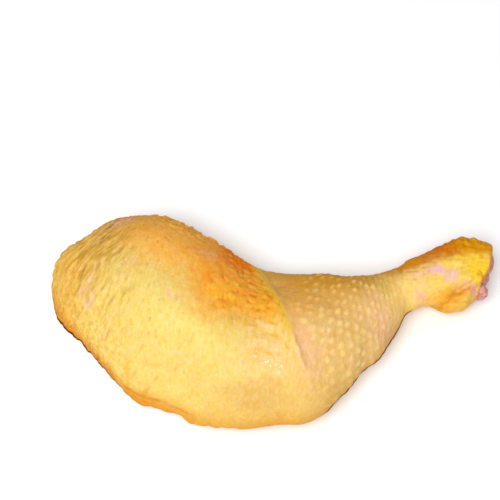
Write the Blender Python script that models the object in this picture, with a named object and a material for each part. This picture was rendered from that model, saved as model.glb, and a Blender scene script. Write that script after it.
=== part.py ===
"""A raw chicken leg quarter, laid down with its skin side up.

The skin is a sleeve that wraps the drumstick all round and covers the thigh from above. Its cut
hem leaves the meat bare under the thigh. At the hock the sleeve is cut across, and the cartilage
of the joint and the stump of a tendon show in its mouth.

Sizes are in millimetres until a mesh is made. x runs from the hip to the hock, y from the near
side to the far side, and z up from the table.
"""

import math
from typing import NamedTuple

import bmesh
import bpy
import numpy as np

MM = 0.001

# What lies over what
SKIN_THICKNESS = 2.3
GAP = 0.35
DEEPEST_DENT = 1.4
UNDERSIDE_FAT = 1.1
MEAT_BULGE_INSET = 0.6

# How finely the forms are divided
SKIN_RINGS = 76
SKIN_ANGLES = (32, 15)
CORE_RINGS = 32
CORE_ANGLES = (15, 9)
BELLY_RINGS = 44
BELLY_ANGLES = (12, 24)
WINDOW_RINGS = 30
WINDOW_COLUMNS = 10

# The rounded hip end, and the skin's edge rolled in at the cut across the hock
HIP_ROUND, HIP_ROUND_RINGS, HIP_FIRST_TURN = 10.0, 5, 0.25
HOCK_ROLL, HOCK_ROLL_RINGS = 1.7, 3
CUT_OVERRUN, CUT_RINGS = 6.0, 4
CORE_STOPS_SHORT = 10.0

# The window that the hem leaves under the thigh, as shares of the leg's length and as insets
# from the rims of the section
WINDOW_START, WINDOW_END = 0.05, 0.475
WINDOW_FAR_INSET = 13.0
WINDOW_NEAR_OVERHANG = 4.0
WINDOW_BLUNTNESS = 0.16
WINDOW_FLOOR = -6.0
HEM_HEIGHT = 6.2
HEM_WAVES = ((1.1, 19.0, 0.4), (0.6, 8.5, 2.0))

# The flesh's own unevenness: height, then the lengths of its waves; it ends before the hock
LUMP_HEIGHT, LUMP_LENGTH, LUMP_BREADTH = 0.55, 15.0, 12.0
SLANT_HEIGHT, SLANT_LENGTH, SLANT = 0.35, 9.0, 1.6
LUMPS_FADE, LUMPS_END = 60.0, 84.0

# The hem's scallops along the near side: height, length and phase of each, then the notch in it
# and the bulge beside the notch
SCALLOPS = ((0.8, 5.3, 0.0), (0.6, 2.9, 1.0))
NOTCH_AT, NOTCH_WIDTH, NOTCH_DEPTH = -81.0, 2.8, 2.0
BULGE_AT, BULGE_WIDTH, BULGE_HEIGHT = -71.5, 6.0, 1.2
SCALLOPS_TOP, SCALLOPS_FULL = 15.0, 7.0

# The hock's scaly ridges on its far side and the crease over its near lobe
RIDGE_HEIGHT, RIDGE_LENGTH, RIDGE_LEAN = 0.5, 0.85, 0.35
CREASE_AT, CREASE_LEAN, CREASE_WIDTH, CREASE_DEPTH = 18.4, 0.46, 1.9, 1.1
HOCK_START, HOCK_FULL = 84.0, 92.0

# The lip where the thigh's skin lies over the drumstick's, as seen from above
FOLD_AT, FOLD_LEAN, FOLD_BEND = 4.4, -0.343, -0.0012
FOLD_HEIGHT, FOLD_RUN_UP, FOLD_DROP = 1.4, 15.0, 1.7
FOLD_NEAR_END, FOLD_FADE = -21.0, 11.0

# The hollow behind the knee, as seen from above
HOLLOW_AT, HOLLOW_RADII, HOLLOW_DEPTH = (-4.0, 24.0), (17.0, 13.0), 2.6

# The seams between the muscles under the thigh: where, how wide and how deep
SEAMS = ((15.0, 3.0, 1.0), (-4.0, 3.4, 0.8), (-26.0, 3.2, 1.0))
SEAM_DEPTH, SEAM_TURN = 2.6, -0.42

# The gristle in the cut. Each lobe of cartilage: across, up, half width, half height
LOBES = ((5.9, 0.4, 6.2, 7.2), (-1.3, -0.2, 5.2, 6.4))
LOBE_DEPTH, LOBE_PROUD = 6.4, 3.4
TENDON_ACROSS, TENDON_UP = -9.9, -1.2
TENDON_HALF_WIDTH, TENDON_HALF_HEIGHT = 2.8, 4.2
TENDON_DEPTH, TENDON_PROUD = 6.0, 3.4


class Station(NamedTuple):
    """One cross-section: its far and near rims, its crest, its underside and how boxy it is."""

    far: tuple
    near: tuple
    top: float
    under: float
    square: float


STATIONS = {
    "hip tip": Station((-119, 46, 9), (-117, 12, 8), 21, 1, 2.0),
    "hip edge": Station((-106, 54, 10), (-104, 3, 8), 29, 0, 2.0),
    "hip": Station((-91, 64, 11), (-88, -15, 8), 36, -1, 2.0),
    "upper thigh": Station((-78, 69, 12), (-76, -31, 8), 39, -1, 2.0),
    "thigh": Station((-64, 70, 12), (-62, -37, 8), 41, -1, 2.0),
    "lower thigh": Station((-38, 58, 12), (-42, -45, 9), 40, -1, 2.0),
    "thigh end": Station((-14, 41, 13), (-19, -50, 10), 37, -1, 2.0),
    "knee": Station((0, 36, 14), (3, -49, 13), 35, -1, 2.0),
    "calf head": Station((14, 33.5, 15), (20, -45, 15), 36, -1, 2.0),
    "calf": Station((30, 32, 16), (36, -30, 16), 35, -1, 2.0),
    "calf taper": Station((46, 32, 15), (54, -11, 15), 31, 0, 2.0),
    "ankle": Station((64, 37, 14), (69, 12, 14), 24, 3.5, 2.0),
    "hock start": Station((79, 45.5, 14), (80, 16, 13), 25.5, 1.5, 2.1),
    "hock": Station((97, 55.5, 14), (94, 14, 12), 28, -0.5, 2.2),
    "hock cut": Station((116, 51, 14), (109, 21, 13), 26, 2.0, 2.3),
}


class Section(NamedTuple):
    """The sizes of the sections at some places along the leg."""

    far: np.ndarray
    near: np.ndarray
    top: np.ndarray
    under: np.ndarray
    square: np.ndarray


def natural_spline(knots, values):
    """A smooth curve through the values, as a function of the distance along the knots."""
    spans = np.diff(knots)
    slopes = np.diff(values, axis=0) / spans[:, None]
    system = np.eye(len(knots))
    bends = np.zeros_like(values)
    for i in range(1, len(knots) - 1):
        system[i, i - 1 : i + 2] = spans[i - 1], 2 * (spans[i - 1] + spans[i]), spans[i]
        bends[i] = 6 * (slopes[i] - slopes[i - 1])
    bends = np.linalg.solve(system, bends)

    def curve(at):
        i = np.clip(np.searchsorted(knots, at, side="right") - 1, 0, len(spans) - 1)
        span = spans[i][:, None]
        before = (at - knots[i])[:, None]
        after = (knots[i + 1] - at)[:, None]
        cubic = (bends[i] * after**3 + bends[i + 1] * before**3) / (6 * span)
        first = (values[i] / span - bends[i] * span / 6) * after
        second = (values[i + 1] / span - bends[i + 1] * span / 6) * before
        return cubic + first + second

    return curve


def station_rows():
    return np.array([[*s.far, *s.near, s.top, s.under, s.square] for s in STATIONS.values()])


def station_distances():
    """How far along the middle of the leg each station lies."""
    rows = station_rows()
    middles = (rows[:, 0:2] + rows[:, 3:5]) / 2
    steps = np.linalg.norm(np.diff(middles, axis=0), axis=1)
    return np.concatenate([[0], np.cumsum(steps)])


LEG_LENGTH = station_distances()[-1]
LEG_CURVE = natural_spline(station_distances(), station_rows())


def sections_at(along):
    values = LEG_CURVE(along)
    return Section(values[:, 0:3], values[:, 3:6], *values[:, 6:].T)


def ring_angles(counts):
    """Angles round a section: far rim, crest, near rim and underside, closer together on top."""
    top, under = counts
    over = np.linspace(0, math.pi, top, endpoint=False)
    below = np.linspace(math.pi, 2 * math.pi, under, endpoint=False)
    return np.concatenate([over, below])


def ring_places(count, inset, last):
    """Distances along the leg for the rings, close together round the hip end."""
    turns = np.linspace(HIP_FIRST_TURN, math.pi / 2, HIP_ROUND_RINGS, endpoint=False)
    hip = inset + (HIP_ROUND - inset) * (1 - np.cos(turns))
    return np.concatenate([hip, np.linspace(HIP_ROUND, last, count - HIP_ROUND_RINGS)])


def section_points(along, angles, inset=0.0, rolled=0.0):
    """The points of the sections at these distances, drawn in by the inset.

    The hip end is rounded off, and rolled draws the last sections in to round the cut's edge.
    """
    section = sections_at(along)
    before_round = np.clip((HIP_ROUND - along) / (HIP_ROUND - inset), 0, 1)
    taper = np.sqrt(1 - before_round**2)[:, None]
    inset = inset + rolled * np.ones_like(along)[:, None]
    across = section.far[:, :2] - section.near[:, :2]
    width = np.linalg.norm(across, axis=1)
    direction = across / width[:, None]
    middle = (section.far[:, :2] + section.near[:, :2]) / 2
    half = (width[:, None] / 2 - inset) * taper
    power = (2 / section.square)[:, None]
    share_across = np.sign(np.cos(angles)) * np.abs(np.cos(angles)) ** power
    share_up = np.abs(np.sin(angles)) ** power
    rim = section.near[:, 2:] + (section.far - section.near)[:, 2:] * (share_across + 1) / 2
    upwards = (section.top[:, None] - rim - inset) * taper
    downwards = (rim - section.under[:, None] - inset) * taper
    height = np.where(np.sin(angles) >= 0, share_up * upwards, -share_up * downwards)
    points = np.empty((len(along), len(angles), 3))
    points[..., :2] = middle[:, None] + direction[:, None] * (half * share_across)[..., None]
    points[..., 2] = rim + height
    return points


def cut_frame():
    """The middle of the hock's cut, the way out of it and the way across it to the far side."""
    end = sections_at(np.array([LEG_LENGTH]))
    far, near = end.far[0], end.near[0]
    across = np.array([*(far - near)[:2], 0])
    across = across / np.linalg.norm(across)
    outward = np.array([across[1], -across[0], 0])
    middle = (far + near) / 2
    middle[2] = (end.top[0] + end.under[0]) / 2
    return middle, outward, across


def loft_normals(points):
    """Unit normals of a grid of rings, facing out."""
    around = np.roll(points, -1, axis=1) - np.roll(points, 1, axis=1)
    along = np.gradient(points, axis=0)
    normals = np.cross(around, along)
    return normals / np.maximum(np.linalg.norm(normals, axis=2, keepdims=True), 1e-9)


def smooth_step(low, high, value):
    share = np.clip((value - low) / (high - low), 0, 1)
    return share * share * (3 - 2 * share)


def bell(distance, width):
    return np.exp(-((distance / width) ** 2))


def flesh_forms(x, y, z, _facing_near):
    """The slow unevenness of the flesh under the skin, and the hollow of the thigh by the fold."""
    lumps = LUMP_HEIGHT * np.sin(x / LUMP_LENGTH + 1.2) * np.cos(y / LUMP_BREADTH + 0.4)
    lumps = lumps + SLANT_HEIGHT * np.sin((x + SLANT * y) / SLANT_LENGTH)
    across, along = (x - HOLLOW_AT[0]) / HOLLOW_RADII[0], (y - HOLLOW_AT[1]) / HOLLOW_RADII[1]
    hollow = HOLLOW_DEPTH * np.exp(-(across**2) - along**2) * smooth_step(12, 24, z)
    return lumps * smooth_step(LUMPS_END, LUMPS_FADE, x) - hollow


def fold_lip(x, y, z):
    """Skin that swells towards the fold behind the knee and drops at its edge."""
    past = x - (FOLD_AT + FOLD_LEAN * y + FOLD_BEND * y * y)
    swell = FOLD_HEIGHT * smooth_step(-FOLD_RUN_UP, -1, past)
    lip = swell * (1 - smooth_step(0, FOLD_DROP, past))
    hollow = -0.5 * FOLD_HEIGHT * bell(past - 4.0, 5.0) * (past > 0)
    shown = smooth_step(FOLD_NEAR_END - FOLD_FADE, FOLD_NEAR_END, y) * smooth_step(14, 22, z)
    return (lip + hollow) * shown


def hem_scallops(x, y, z, facing_near):
    """The uneven line of the cut skin along the near side of the thigh."""
    along = x - y
    waves = sum(size * np.sin(along / length + phase) for size, length, phase in SCALLOPS)
    waves = waves + BULGE_HEIGHT * bell(x - BULGE_AT, BULGE_WIDTH)
    notch = NOTCH_DEPTH * bell(x - NOTCH_AT, NOTCH_WIDTH)
    near_side = smooth_step(SCALLOPS_TOP, SCALLOPS_FULL, z) * smooth_step(0.3, 0.8, facing_near)
    return (waves - notch) * near_side * smooth_step(-12, -26, x) * smooth_step(-112, -98, x)


def hock_relief(x, y, z):
    """Scaly ridges on the far side of the hock, and the crease over its near lobe."""
    on_hock = smooth_step(HOCK_START, HOCK_FULL, x)
    ridges = RIDGE_HEIGHT * np.sin((x + RIDGE_LEAN * y) / RIDGE_LENGTH)
    ridges = ridges * smooth_step(38, 46, y) * smooth_step(112, 106, x)
    aside = y - CREASE_AT - CREASE_LEAN * (x - HOCK_FULL)
    crease = CREASE_DEPTH * bell(aside, CREASE_WIDTH)
    crease = crease * smooth_step(108, 102, x) * smooth_step(8, 14, z)
    return (ridges - crease) * on_hock


def skin_folds(x, y, z, facing_near):
    """The skin's own folds and edges, never deep enough to break through it."""
    folds = fold_lip(x, y, z) + hem_scallops(x, y, z, facing_near) + hock_relief(x, y, z)
    return np.maximum(folds, -DEEPEST_DENT)


def raised(points, *reliefs):
    """The rings of points moved out by the sum of the reliefs."""
    normals = loft_normals(points)
    x, y, z = np.moveaxis(points, 2, 0)
    return points + normals * sum(relief(x, y, z, -normals[..., 1]) for relief in reliefs)[..., None]


def muscle_seams(x, y):
    """How deep the seams between the muscles run into the meat from below."""
    across = y - 12 - SEAM_TURN * (x + 62)
    seams = [deep * bell(across - at, wide) for at, wide, deep in SEAMS]
    return SEAM_DEPTH * np.max(seams, axis=0)


def above_table(points):
    """Flesh lies flat where it rests."""
    points = points.copy()
    points[..., 2] = np.maximum(points[..., 2], 0)
    return points


def skin_form():
    """The outside of the whole leg."""
    along = ring_places(SKIN_RINGS, 0.0, LEG_LENGTH - HOCK_ROLL)
    points = raised(section_points(along, ring_angles(SKIN_ANGLES)), flesh_forms, skin_folds)
    turns = np.linspace(0, math.pi / 2, HOCK_ROLL_RINGS + 1)[1:]
    along = LEG_LENGTH - HOCK_ROLL * (1 - np.sin(turns))
    rolled = HOCK_ROLL * (1 - np.cos(turns))[:, None]
    rim = section_points(along, ring_angles(SKIN_ANGLES), 0.0, rolled)
    return above_table(np.concatenate([points, rim]))


def core_form(inset, through_cut):
    """The inside of the skin sleeve, up to the gristle or on through the cut."""
    along = ring_places(CORE_RINGS, inset, LEG_LENGTH - CORE_STOPS_SHORT)
    to_cut = np.linspace(LEG_LENGTH - CORE_STOPS_SHORT, LEG_LENGTH, CUT_RINGS)[1:]
    points = section_points(np.concatenate([along, to_cut]), ring_angles(CORE_ANGLES), inset)
    points = raised(points, flesh_forms)
    points[..., 2] = np.maximum(points[..., 2], inset + UNDERSIDE_FAT)
    if through_cut:
        return np.concatenate([points, points[-1:] + cut_frame()[1] * CUT_OVERRUN])
    return points[: len(along)]


def belly_form():
    """The thigh's outside drawn in a little: the meat below the hem."""
    along = ring_places(BELLY_RINGS, MEAT_BULGE_INSET, (WINDOW_END + 0.06) * LEG_LENGTH)
    points = section_points(along, ring_angles(BELLY_ANGLES), MEAT_BULGE_INSET)
    points = above_table(raised(points, flesh_forms, skin_folds))
    seams = muscle_seams(points[..., 0], points[..., 1])
    points[..., 2] += seams * smooth_step(4, 0.5, points[..., 2])
    return points


def hem_height(x):
    return HEM_HEIGHT + sum(size * np.sin(x / length + phase) for size, length, phase in HEM_WAVES)


def window_form(clearance):
    """The space under the hem, drawn in by the clearance: a slab with its top at the hem."""
    share = np.linspace(0, 1, WINDOW_RINGS)
    first = WINDOW_START * LEG_LENGTH + clearance
    last = WINDOW_END * LEG_LENGTH - clearance
    section = sections_at(first + share * (last - first))
    across = section.far[:, :2] - section.near[:, :2]
    width = np.linalg.norm(across, axis=1)
    direction = across / width[:, None]
    opening = np.sqrt(1 - (1 - WINDOW_BLUNTNESS) * np.abs(2 * share - 1) ** 5)
    far, near = width - WINDOW_FAR_INSET, -WINDOW_NEAR_OVERHANG
    middle, half = (far + near) / 2, (far - near) / 2 * opening - clearance
    reach = middle[:, None] + half[:, None] * np.linspace(1, -1, WINDOW_COLUMNS)
    top = np.empty((WINDOW_RINGS, WINDOW_COLUMNS, 3))
    top[..., :2] = section.near[:, None, :2] + direction[:, None] * reach[..., None]
    top[..., 2] = hem_height(top[..., 0]) - clearance
    bottom = top[:, ::-1].copy()
    bottom[..., 2] = WINDOW_FLOOR
    return np.concatenate([top, bottom], axis=1)


def leg_origin():
    """The middle of the leg's footprint, on the table."""
    middle, outward, _ = cut_frame()
    points = np.concatenate([skin_form().reshape(-1, 3), [middle + outward * LOBE_PROUD]])
    low, high = points.min(axis=0), points.max(axis=0)
    return np.array([(low[0] + high[0]) / 2, (low[1] + high[1]) / 2, 0])


ORIGIN = leg_origin()


def loft_mesh(name, points):
    """A closed mesh over rings of points, with a fan over each end."""
    ring_count, ring_size, _ = points.shape
    ends = np.array([points[0].mean(axis=0), points[-1].mean(axis=0)])
    corners = (np.concatenate([points.reshape(-1, 3), ends]) - ORIGIN) * MM
    first_end, last_end = ring_count * ring_size, ring_count * ring_size + 1
    last_ring = (ring_count - 1) * ring_size
    faces = []
    for j in range(ring_size):
        after = (j + 1) % ring_size
        faces.append((first_end, after, j))
        faces.append((last_end, last_ring + j, last_ring + after))
        for i in range(ring_count - 1):
            this, beyond = i * ring_size, (i + 1) * ring_size
            faces.append((this + j, this + after, beyond + after, beyond + j))
    mesh = bpy.data.meshes.new(name)
    mesh.from_pydata(corners.tolist(), [], faces)
    work = bmesh.new()
    work.from_mesh(mesh)
    bmesh.ops.triangulate(work, faces=work.faces)
    work.to_mesh(mesh)
    work.free()
    return mesh


def ball_mesh(name, place, axes, divisions):
    """A ball stretched along three axes, which are the rows of axes."""
    work = bmesh.new()
    ball = bmesh.ops.create_uvsphere(work, u_segments=divisions, v_segments=divisions // 2, radius=1)
    for vertex in ball["verts"]:
        vertex.co = (place - ORIGIN + np.array(vertex.co) @ axes) * MM
    bmesh.ops.recalc_face_normals(work, faces=work.faces)
    mesh = bpy.data.meshes.new(name)
    work.to_mesh(mesh)
    work.free()
    return mesh


def add_object(name, mesh):
    thing = bpy.data.objects.new(name, mesh)
    bpy.context.scene.collection.objects.link(thing)
    return thing


def add_cutter(name, mesh):
    cutter = add_object(name, mesh)
    cutter.hide_render = True
    cutter.display_type = "WIRE"
    return cutter


def add_boolean(target, other, operation):
    modifier = target.modifiers.new(other.name, "BOOLEAN")
    modifier.operation = operation
    modifier.object = other
    modifier.solver = "EXACT"


def finish(thing, name, colour, roughness):
    material = bpy.data.materials.new(name)
    material.use_nodes = True
    material.diffuse_color = (*colour, 1)
    shader = material.node_tree.nodes["Principled BSDF"]
    shader.inputs["Base Color"].default_value = (*colour, 1)
    shader.inputs["Roughness"].default_value = roughness
    shader.inputs["Metallic"].default_value = 0.0
    thing.data.materials.clear()
    thing.data.materials.append(material)
    thing.data.shade_smooth()


def make_skin():
    skin = add_object("skin", loft_mesh("skin", skin_form()))
    core = core_form(SKIN_THICKNESS, True)
    add_boolean(skin, add_cutter("skin_cavity", loft_mesh("skin_cavity", core)), "DIFFERENCE")
    window = add_cutter("skin_window", loft_mesh("skin_window", window_form(0.0)))
    add_boolean(skin, window, "DIFFERENCE")
    finish(skin, "chicken_skin", (0.93, 0.62, 0.19), 0.42)


def make_meat():
    meat = add_object("meat", loft_mesh("meat", core_form(SKIN_THICKNESS + GAP, False)))
    belly = add_cutter("meat_belly", loft_mesh("meat_belly", belly_form()))
    window = add_cutter("meat_window", loft_mesh("meat_window", window_form(GAP)))
    add_boolean(belly, window, "INTERSECT")
    add_boolean(meat, belly, "UNION")
    finish(meat, "dark_meat", (0.48, 0.13, 0.12), 0.35)


def make_cartilage():
    middle, outward, across = cut_frame()
    up = np.array([0, 0, 1])
    meshes = []
    for aside, above, half_width, half_height in LOBES:
        place = middle + across * aside + up * above + outward * (LOBE_PROUD - LOBE_DEPTH)
        axes = np.array([across * half_width, up * half_height, outward * LOBE_DEPTH])
        meshes.append(ball_mesh("lobe", place, axes, 20))
    cartilage = add_object("joint_cartilage", meshes[0])
    add_boolean(cartilage, add_cutter("near_lobe", meshes[1]), "UNION")
    finish(cartilage, "cartilage", (0.78, 0.52, 0.50), 0.3)


def make_tendon():
    middle, outward, across = cut_frame()
    up = np.array([0, 0, 1])
    half_length = (TENDON_PROUD + TENDON_DEPTH) / 2
    place = middle + across * TENDON_ACROSS + up * TENDON_UP
    place = place + outward * (TENDON_PROUD - half_length)
    axes = np.array([across * TENDON_HALF_WIDTH, up * TENDON_HALF_HEIGHT, outward * half_length])
    tendon = add_object("tendon_stub", ball_mesh("tendon_stub", place, axes, 14))
    finish(tendon, "tendon", (0.68, 0.40, 0.37), 0.3)


def main():
    for thing in list(bpy.data.objects):
        bpy.data.objects.remove(thing, do_unlink=True)
    make_skin()
    make_meat()
    make_cartilage()
    make_tendon()


main()
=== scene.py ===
# The looks of a raw chicken leg quarter that lies with its skin side up on a pale table.
#
# Sizes are in millimetres until a mesh is made. x runs from the hip to the hock, y from the near
# side to the far side, and z up from the table.

import math
from collections import namedtuple

import bpy
import numpy as np
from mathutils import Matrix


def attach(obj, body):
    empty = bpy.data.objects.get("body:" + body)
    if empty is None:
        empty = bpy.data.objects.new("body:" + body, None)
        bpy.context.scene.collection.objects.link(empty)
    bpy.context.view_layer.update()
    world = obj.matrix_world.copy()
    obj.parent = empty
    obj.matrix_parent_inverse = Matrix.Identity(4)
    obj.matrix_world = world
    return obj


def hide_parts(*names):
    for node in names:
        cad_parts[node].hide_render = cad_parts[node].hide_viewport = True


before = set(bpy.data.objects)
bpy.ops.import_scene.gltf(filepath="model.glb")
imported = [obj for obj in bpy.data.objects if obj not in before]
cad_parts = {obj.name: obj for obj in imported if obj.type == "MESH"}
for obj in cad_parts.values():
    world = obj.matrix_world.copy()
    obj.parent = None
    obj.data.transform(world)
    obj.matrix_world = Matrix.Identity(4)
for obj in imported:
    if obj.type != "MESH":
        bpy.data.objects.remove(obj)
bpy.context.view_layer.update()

MM = 0.001
# The frame's origin, the middle of the leg's footprint, in this script's own coordinates
FOOTPRINT_MIDDLE = np.array([-1.026, 9.871, 0.0])

# What lies over what
SKIN_THICKNESS = 2.3
MEAT_CLEARANCE = 0.45
UNDERSIDE_FAT = 1.1
MEAT_BULGE_INSET = 0.6

# The rounded hip end, the skin's edges rolled in at the cut and at the hem, and where the meat stops
# before the cut
HIP_ROUND = 10.0
HOCK_ROLL = 1.7
HEM_ROLL = 1.1
MEAT_STOPS_SHORT = 3.2

# The window that the hem leaves under the thigh
WINDOW_START, WINDOW_END = 0.05, 0.475
WINDOW_FAR_INSET = 13.0
WINDOW_BLUNTNESS = 8
HEM_HEIGHT = 6.2
HEM_WAVES = ((1.1, 19.0, 0.4), (0.6, 8.5, 2.0), (0.35, 2.6, 0.3))

# The flesh's own unevenness, and the hollow behind the knee
LUMP_HEIGHT, LUMP_LENGTH, LUMP_BREADTH = 0.55, 15.0, 12.0
SLANT_HEIGHT, SLANT_LENGTH, SLANT = 0.35, 9.0, 1.6
LUMPS_FADE, LUMPS_END = 60.0, 84.0
HOLLOW_AT, HOLLOW_RADII, HOLLOW_DEPTH = (-4.0, 24.0), (17.0, 13.0), 2.6

# The lip where the thigh's skin lies over the drumstick's
FOLD_AT, FOLD_LEAN, FOLD_BEND = 4.4, -0.343, -0.0012
FOLD_HEIGHT, FOLD_RUN_UP, FOLD_DROP = 0.6, 15.0, 4.5
FOLD_NEAR_END, FOLD_FADE = -21.0, 11.0
TAIL_START, TAIL_END, TAIL_WIDTH = -10.0, -29.0, 0.5

# The hem's scallops along the near side, the notch in it and the bulge beside the notch
SCALLOPS, SCALLOP_SHARE = ((0.8, 5.3, 0.0), (0.6, 2.9, 1.0), (0.3, 1.3, 0.4)), 0.6
NOTCH_AT, NOTCH_WIDTH, NOTCH_DEPTH = -81.0, 2.8, 2.0
BULGE_AT, BULGE_WIDTH, BULGE_HEIGHT = -71.5, 6.0, 1.2
SCALLOPS_TOP, SCALLOPS_FULL = 15.0, 7.0

# The tucks at the hip end: which way they follow each other, how long and how high each is
TUCK_WAY, TUCK_LENGTH, TUCK_HEIGHT = (0.65, 0.76), 5.2, 1.0

# The hock's scaly ridges on its far side and the crease over its near lobe
RIDGE_HEIGHT, RIDGE_LENGTH, RIDGE_LEAN = 0.4, 0.85, 0.35
CREASE_AT, CREASE_LEAN, CREASE_WIDTH, CREASE_DEPTH = 18.4, 0.47, 1.6, 1.5
LOBE_AT, LOBE_RADII, LOBE_HEIGHT = (95.0, 15.0), (11.0, 4.0), 0.8
HOCK_START, HOCK_FULL = 84.0, 92.0

# The seams between the muscles under the thigh: where, how far they fan out, how wide and how deep
SEAMS = ((13.0, 0.20, 1.7, 1.0), (-3.0, -0.04, 1.4, 0.6), (-19.0, -0.26, 1.9, 0.9))
SEAMS_MIDDLE, SEAM_DEPTH, SEAM_TURN = (-62, 12), 2.2, -0.42
SEAM_SWAY, SEAM_SWAY_LENGTH = 2.2, 10.0
SEAMS_FADE, SEAMS_FULL = 4, 0.5

DEEPEST_DENT = 1.7


# A cross-section, or an array of each size of many: its far and near rims, its crest, its underside
# and how boxy it is
Station = namedtuple("Station", "far near top under square")

STATIONS = {
    "hip tip": Station((-119, 46, 9), (-117, 12, 8), 21, 1, 2.0),
    "hip edge": Station((-106, 54, 10), (-104, 3, 8), 29, 0, 2.0),
    "hip": Station((-91, 64, 11), (-88, -15, 8), 36, -1, 2.0),
    "upper thigh": Station((-78, 69, 12), (-76, -31, 8), 39, -1, 2.0),
    "thigh": Station((-64, 70, 12), (-62, -37, 8), 41, -1, 2.0),
    "lower thigh": Station((-38, 58, 12), (-42, -45, 9), 40, -1, 2.0),
    "thigh end": Station((-14, 41, 13), (-19, -50, 10), 37, -1, 2.0),
    "knee": Station((0, 36, 14), (3, -49, 13), 35, -1, 2.0),
    "calf head": Station((14, 33.5, 15), (20, -45, 15), 36, -1, 2.0),
    "calf": Station((30, 32, 16), (36, -30, 16), 35, -1, 2.0),
    "calf taper": Station((46, 32, 15), (54, -11, 15), 31, 0, 2.0),
    "ankle": Station((64, 37, 14), (69, 12, 14), 24, 3.5, 2.0),
    "hock start": Station((79, 45.5, 14), (80, 16, 13), 25.5, 1.5, 2.1),
    "hock": Station((97, 55.5, 14), (94, 14, 12), 28, -0.5, 2.2),
    "hock cut": Station((116, 51, 14), (109, 21, 13), 26, 2.0, 2.3),
}


def natural_spline(knots, values):
    """A smooth curve through the values, as a function of the distance along the knots."""
    spans = np.diff(knots)
    slopes = np.diff(values, axis=0) / spans[:, None]
    system = np.eye(len(knots))
    bends = np.zeros_like(values)
    for i in range(1, len(knots) - 1):
        system[i, i - 1 : i + 2] = spans[i - 1], 2 * (spans[i - 1] + spans[i]), spans[i]
        bends[i] = 6 * (slopes[i] - slopes[i - 1])
    bends = np.linalg.solve(system, bends)

    def curve(at):
        i = np.clip(np.searchsorted(knots, at, side="right") - 1, 0, len(spans) - 1)
        span = spans[i][:, None]
        before = (at - knots[i])[:, None]
        after = (knots[i + 1] - at)[:, None]
        cubic = (bends[i] * after**3 + bends[i + 1] * before**3) / (6 * span)
        first = (values[i] / span - bends[i] * span / 6) * after
        second = (values[i + 1] / span - bends[i + 1] * span / 6) * before
        return cubic + first + second

    return curve


def leg_curve():
    """How long the leg is, and the curve through its stations."""
    rows = np.array([[*s.far, *s.near, s.top, s.under, s.square] for s in STATIONS.values()])
    middles = (rows[:, 0:2] + rows[:, 3:5]) / 2
    steps = np.linalg.norm(np.diff(middles, axis=0), axis=1)
    distances = np.concatenate([[0], np.cumsum(steps)])
    return distances[-1], natural_spline(distances, rows)


LEG_LENGTH, LEG_CURVE = leg_curve()


def sections_at(along):
    values = LEG_CURVE(along)
    return Station(values[:, 0:3], values[:, 3:6], *values[:, 6:].T)


def section_points(along, angles, inset=0.0):
    """The points of the sections at these distances, drawn in by the inset.

    The angle goes round a section from the far rim over the crest to the near rim and back under.
    Angles and insets may differ from ring to ring.
    """
    section = sections_at(along)
    inset = inset * np.ones_like(angles)
    before_round = np.clip((HIP_ROUND - along[:, None]) / (HIP_ROUND - inset), 0, 1)
    taper = np.sqrt(1 - before_round**2)
    across = section.far[:, :2] - section.near[:, :2]
    width = np.linalg.norm(across, axis=1)
    direction = across / width[:, None]
    middle = (section.far[:, :2] + section.near[:, :2]) / 2
    half = (width[:, None] / 2 - inset) * taper
    power = (2 / section.square)[:, None]
    share_across = np.sign(np.cos(angles)) * np.abs(np.cos(angles)) ** power
    share_up = np.abs(np.sin(angles)) ** power
    rim = section.near[:, 2:] + (section.far - section.near)[:, 2:] * (share_across + 1) / 2
    upwards = (section.top[:, None] - rim - inset) * taper
    downwards = (rim - section.under[:, None] - inset) * taper
    height = np.where(np.sin(angles) >= 0, share_up * upwards, -share_up * downwards)
    points = np.empty((*angles.shape, 3))
    points[..., :2] = middle[:, None] + direction[:, None] * (half * share_across)[..., None]
    points[..., 2] = rim + height
    return points


def smooth_step(low, high, value):
    share = np.clip((value - low) / (high - low), 0, 1)
    return share * share * (3 - 2 * share)


def between(value, start, full, ebb, end):
    """1 from full to ebb, and 0 before the start and past the end."""
    return smooth_step(start, full, value) * smooth_step(end, ebb, value)


def bell(distance, width):
    return np.exp(-((distance / width) ** 2))


def mound(x, y, at, radii):
    """A soft round area, as seen from above."""
    return np.exp(-(((x - at[0]) / radii[0]) ** 2) - ((y - at[1]) / radii[1]) ** 2)


# Where the points of a skin or meat surface are: along is the distance from the hip, girth the
# distance round the leg from its crest, positive to the far side, and the last two say how far the
# surface faces the near side and down
Place = namedtuple("Place", "along girth x y z facing_near facing_down")


def fold_line(y):
    return FOLD_AT + FOLD_LEAN * y + FOLD_BEND * y * y


# --- The large forms ----------------------------------------------------------------------------

# Where each side swell is along the leg, how wide it is and how high
NEAR_SWELLS = ((12, 8, 1.7), (45, 5, -2.0), (54, 4, 0.7), (68, 4, -1.3), (80, 5, -1.6), (95, 4, -1.1))
FAR_SWELLS = ((37, 6, -0.9), (73, 5, 1.7), (90.5, 6, -1.1))

# Layers of noise: how high each one is, how large its lumps are and where it is taken from
HEM_CLOUDS = ((1.1, 7.0, 81.0), (0.6, 3.0, 85.0))
ORANGE_CLOUDS = ((0.12, 9.0, 11.0), (0.06, 3.5, 5.0))
PAPILLA_CLOUDS = ((0.22, 9.0, 3.0), (0.08, 3.5, 13.0))
BEAD_CLOUDS = ((0.3, 7.0, 55.0), (0.3, 2.4, 57.0))
BEAD_BREAKS = ((0.8, 7.0, 51.0), (0.4, 2.5, 53.0))
SKIN_CLOUDS = ((0.22, 8.0, 0.0), (0.1, 3.2, 40.0), (0.045, 1.5, 60.0))

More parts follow.
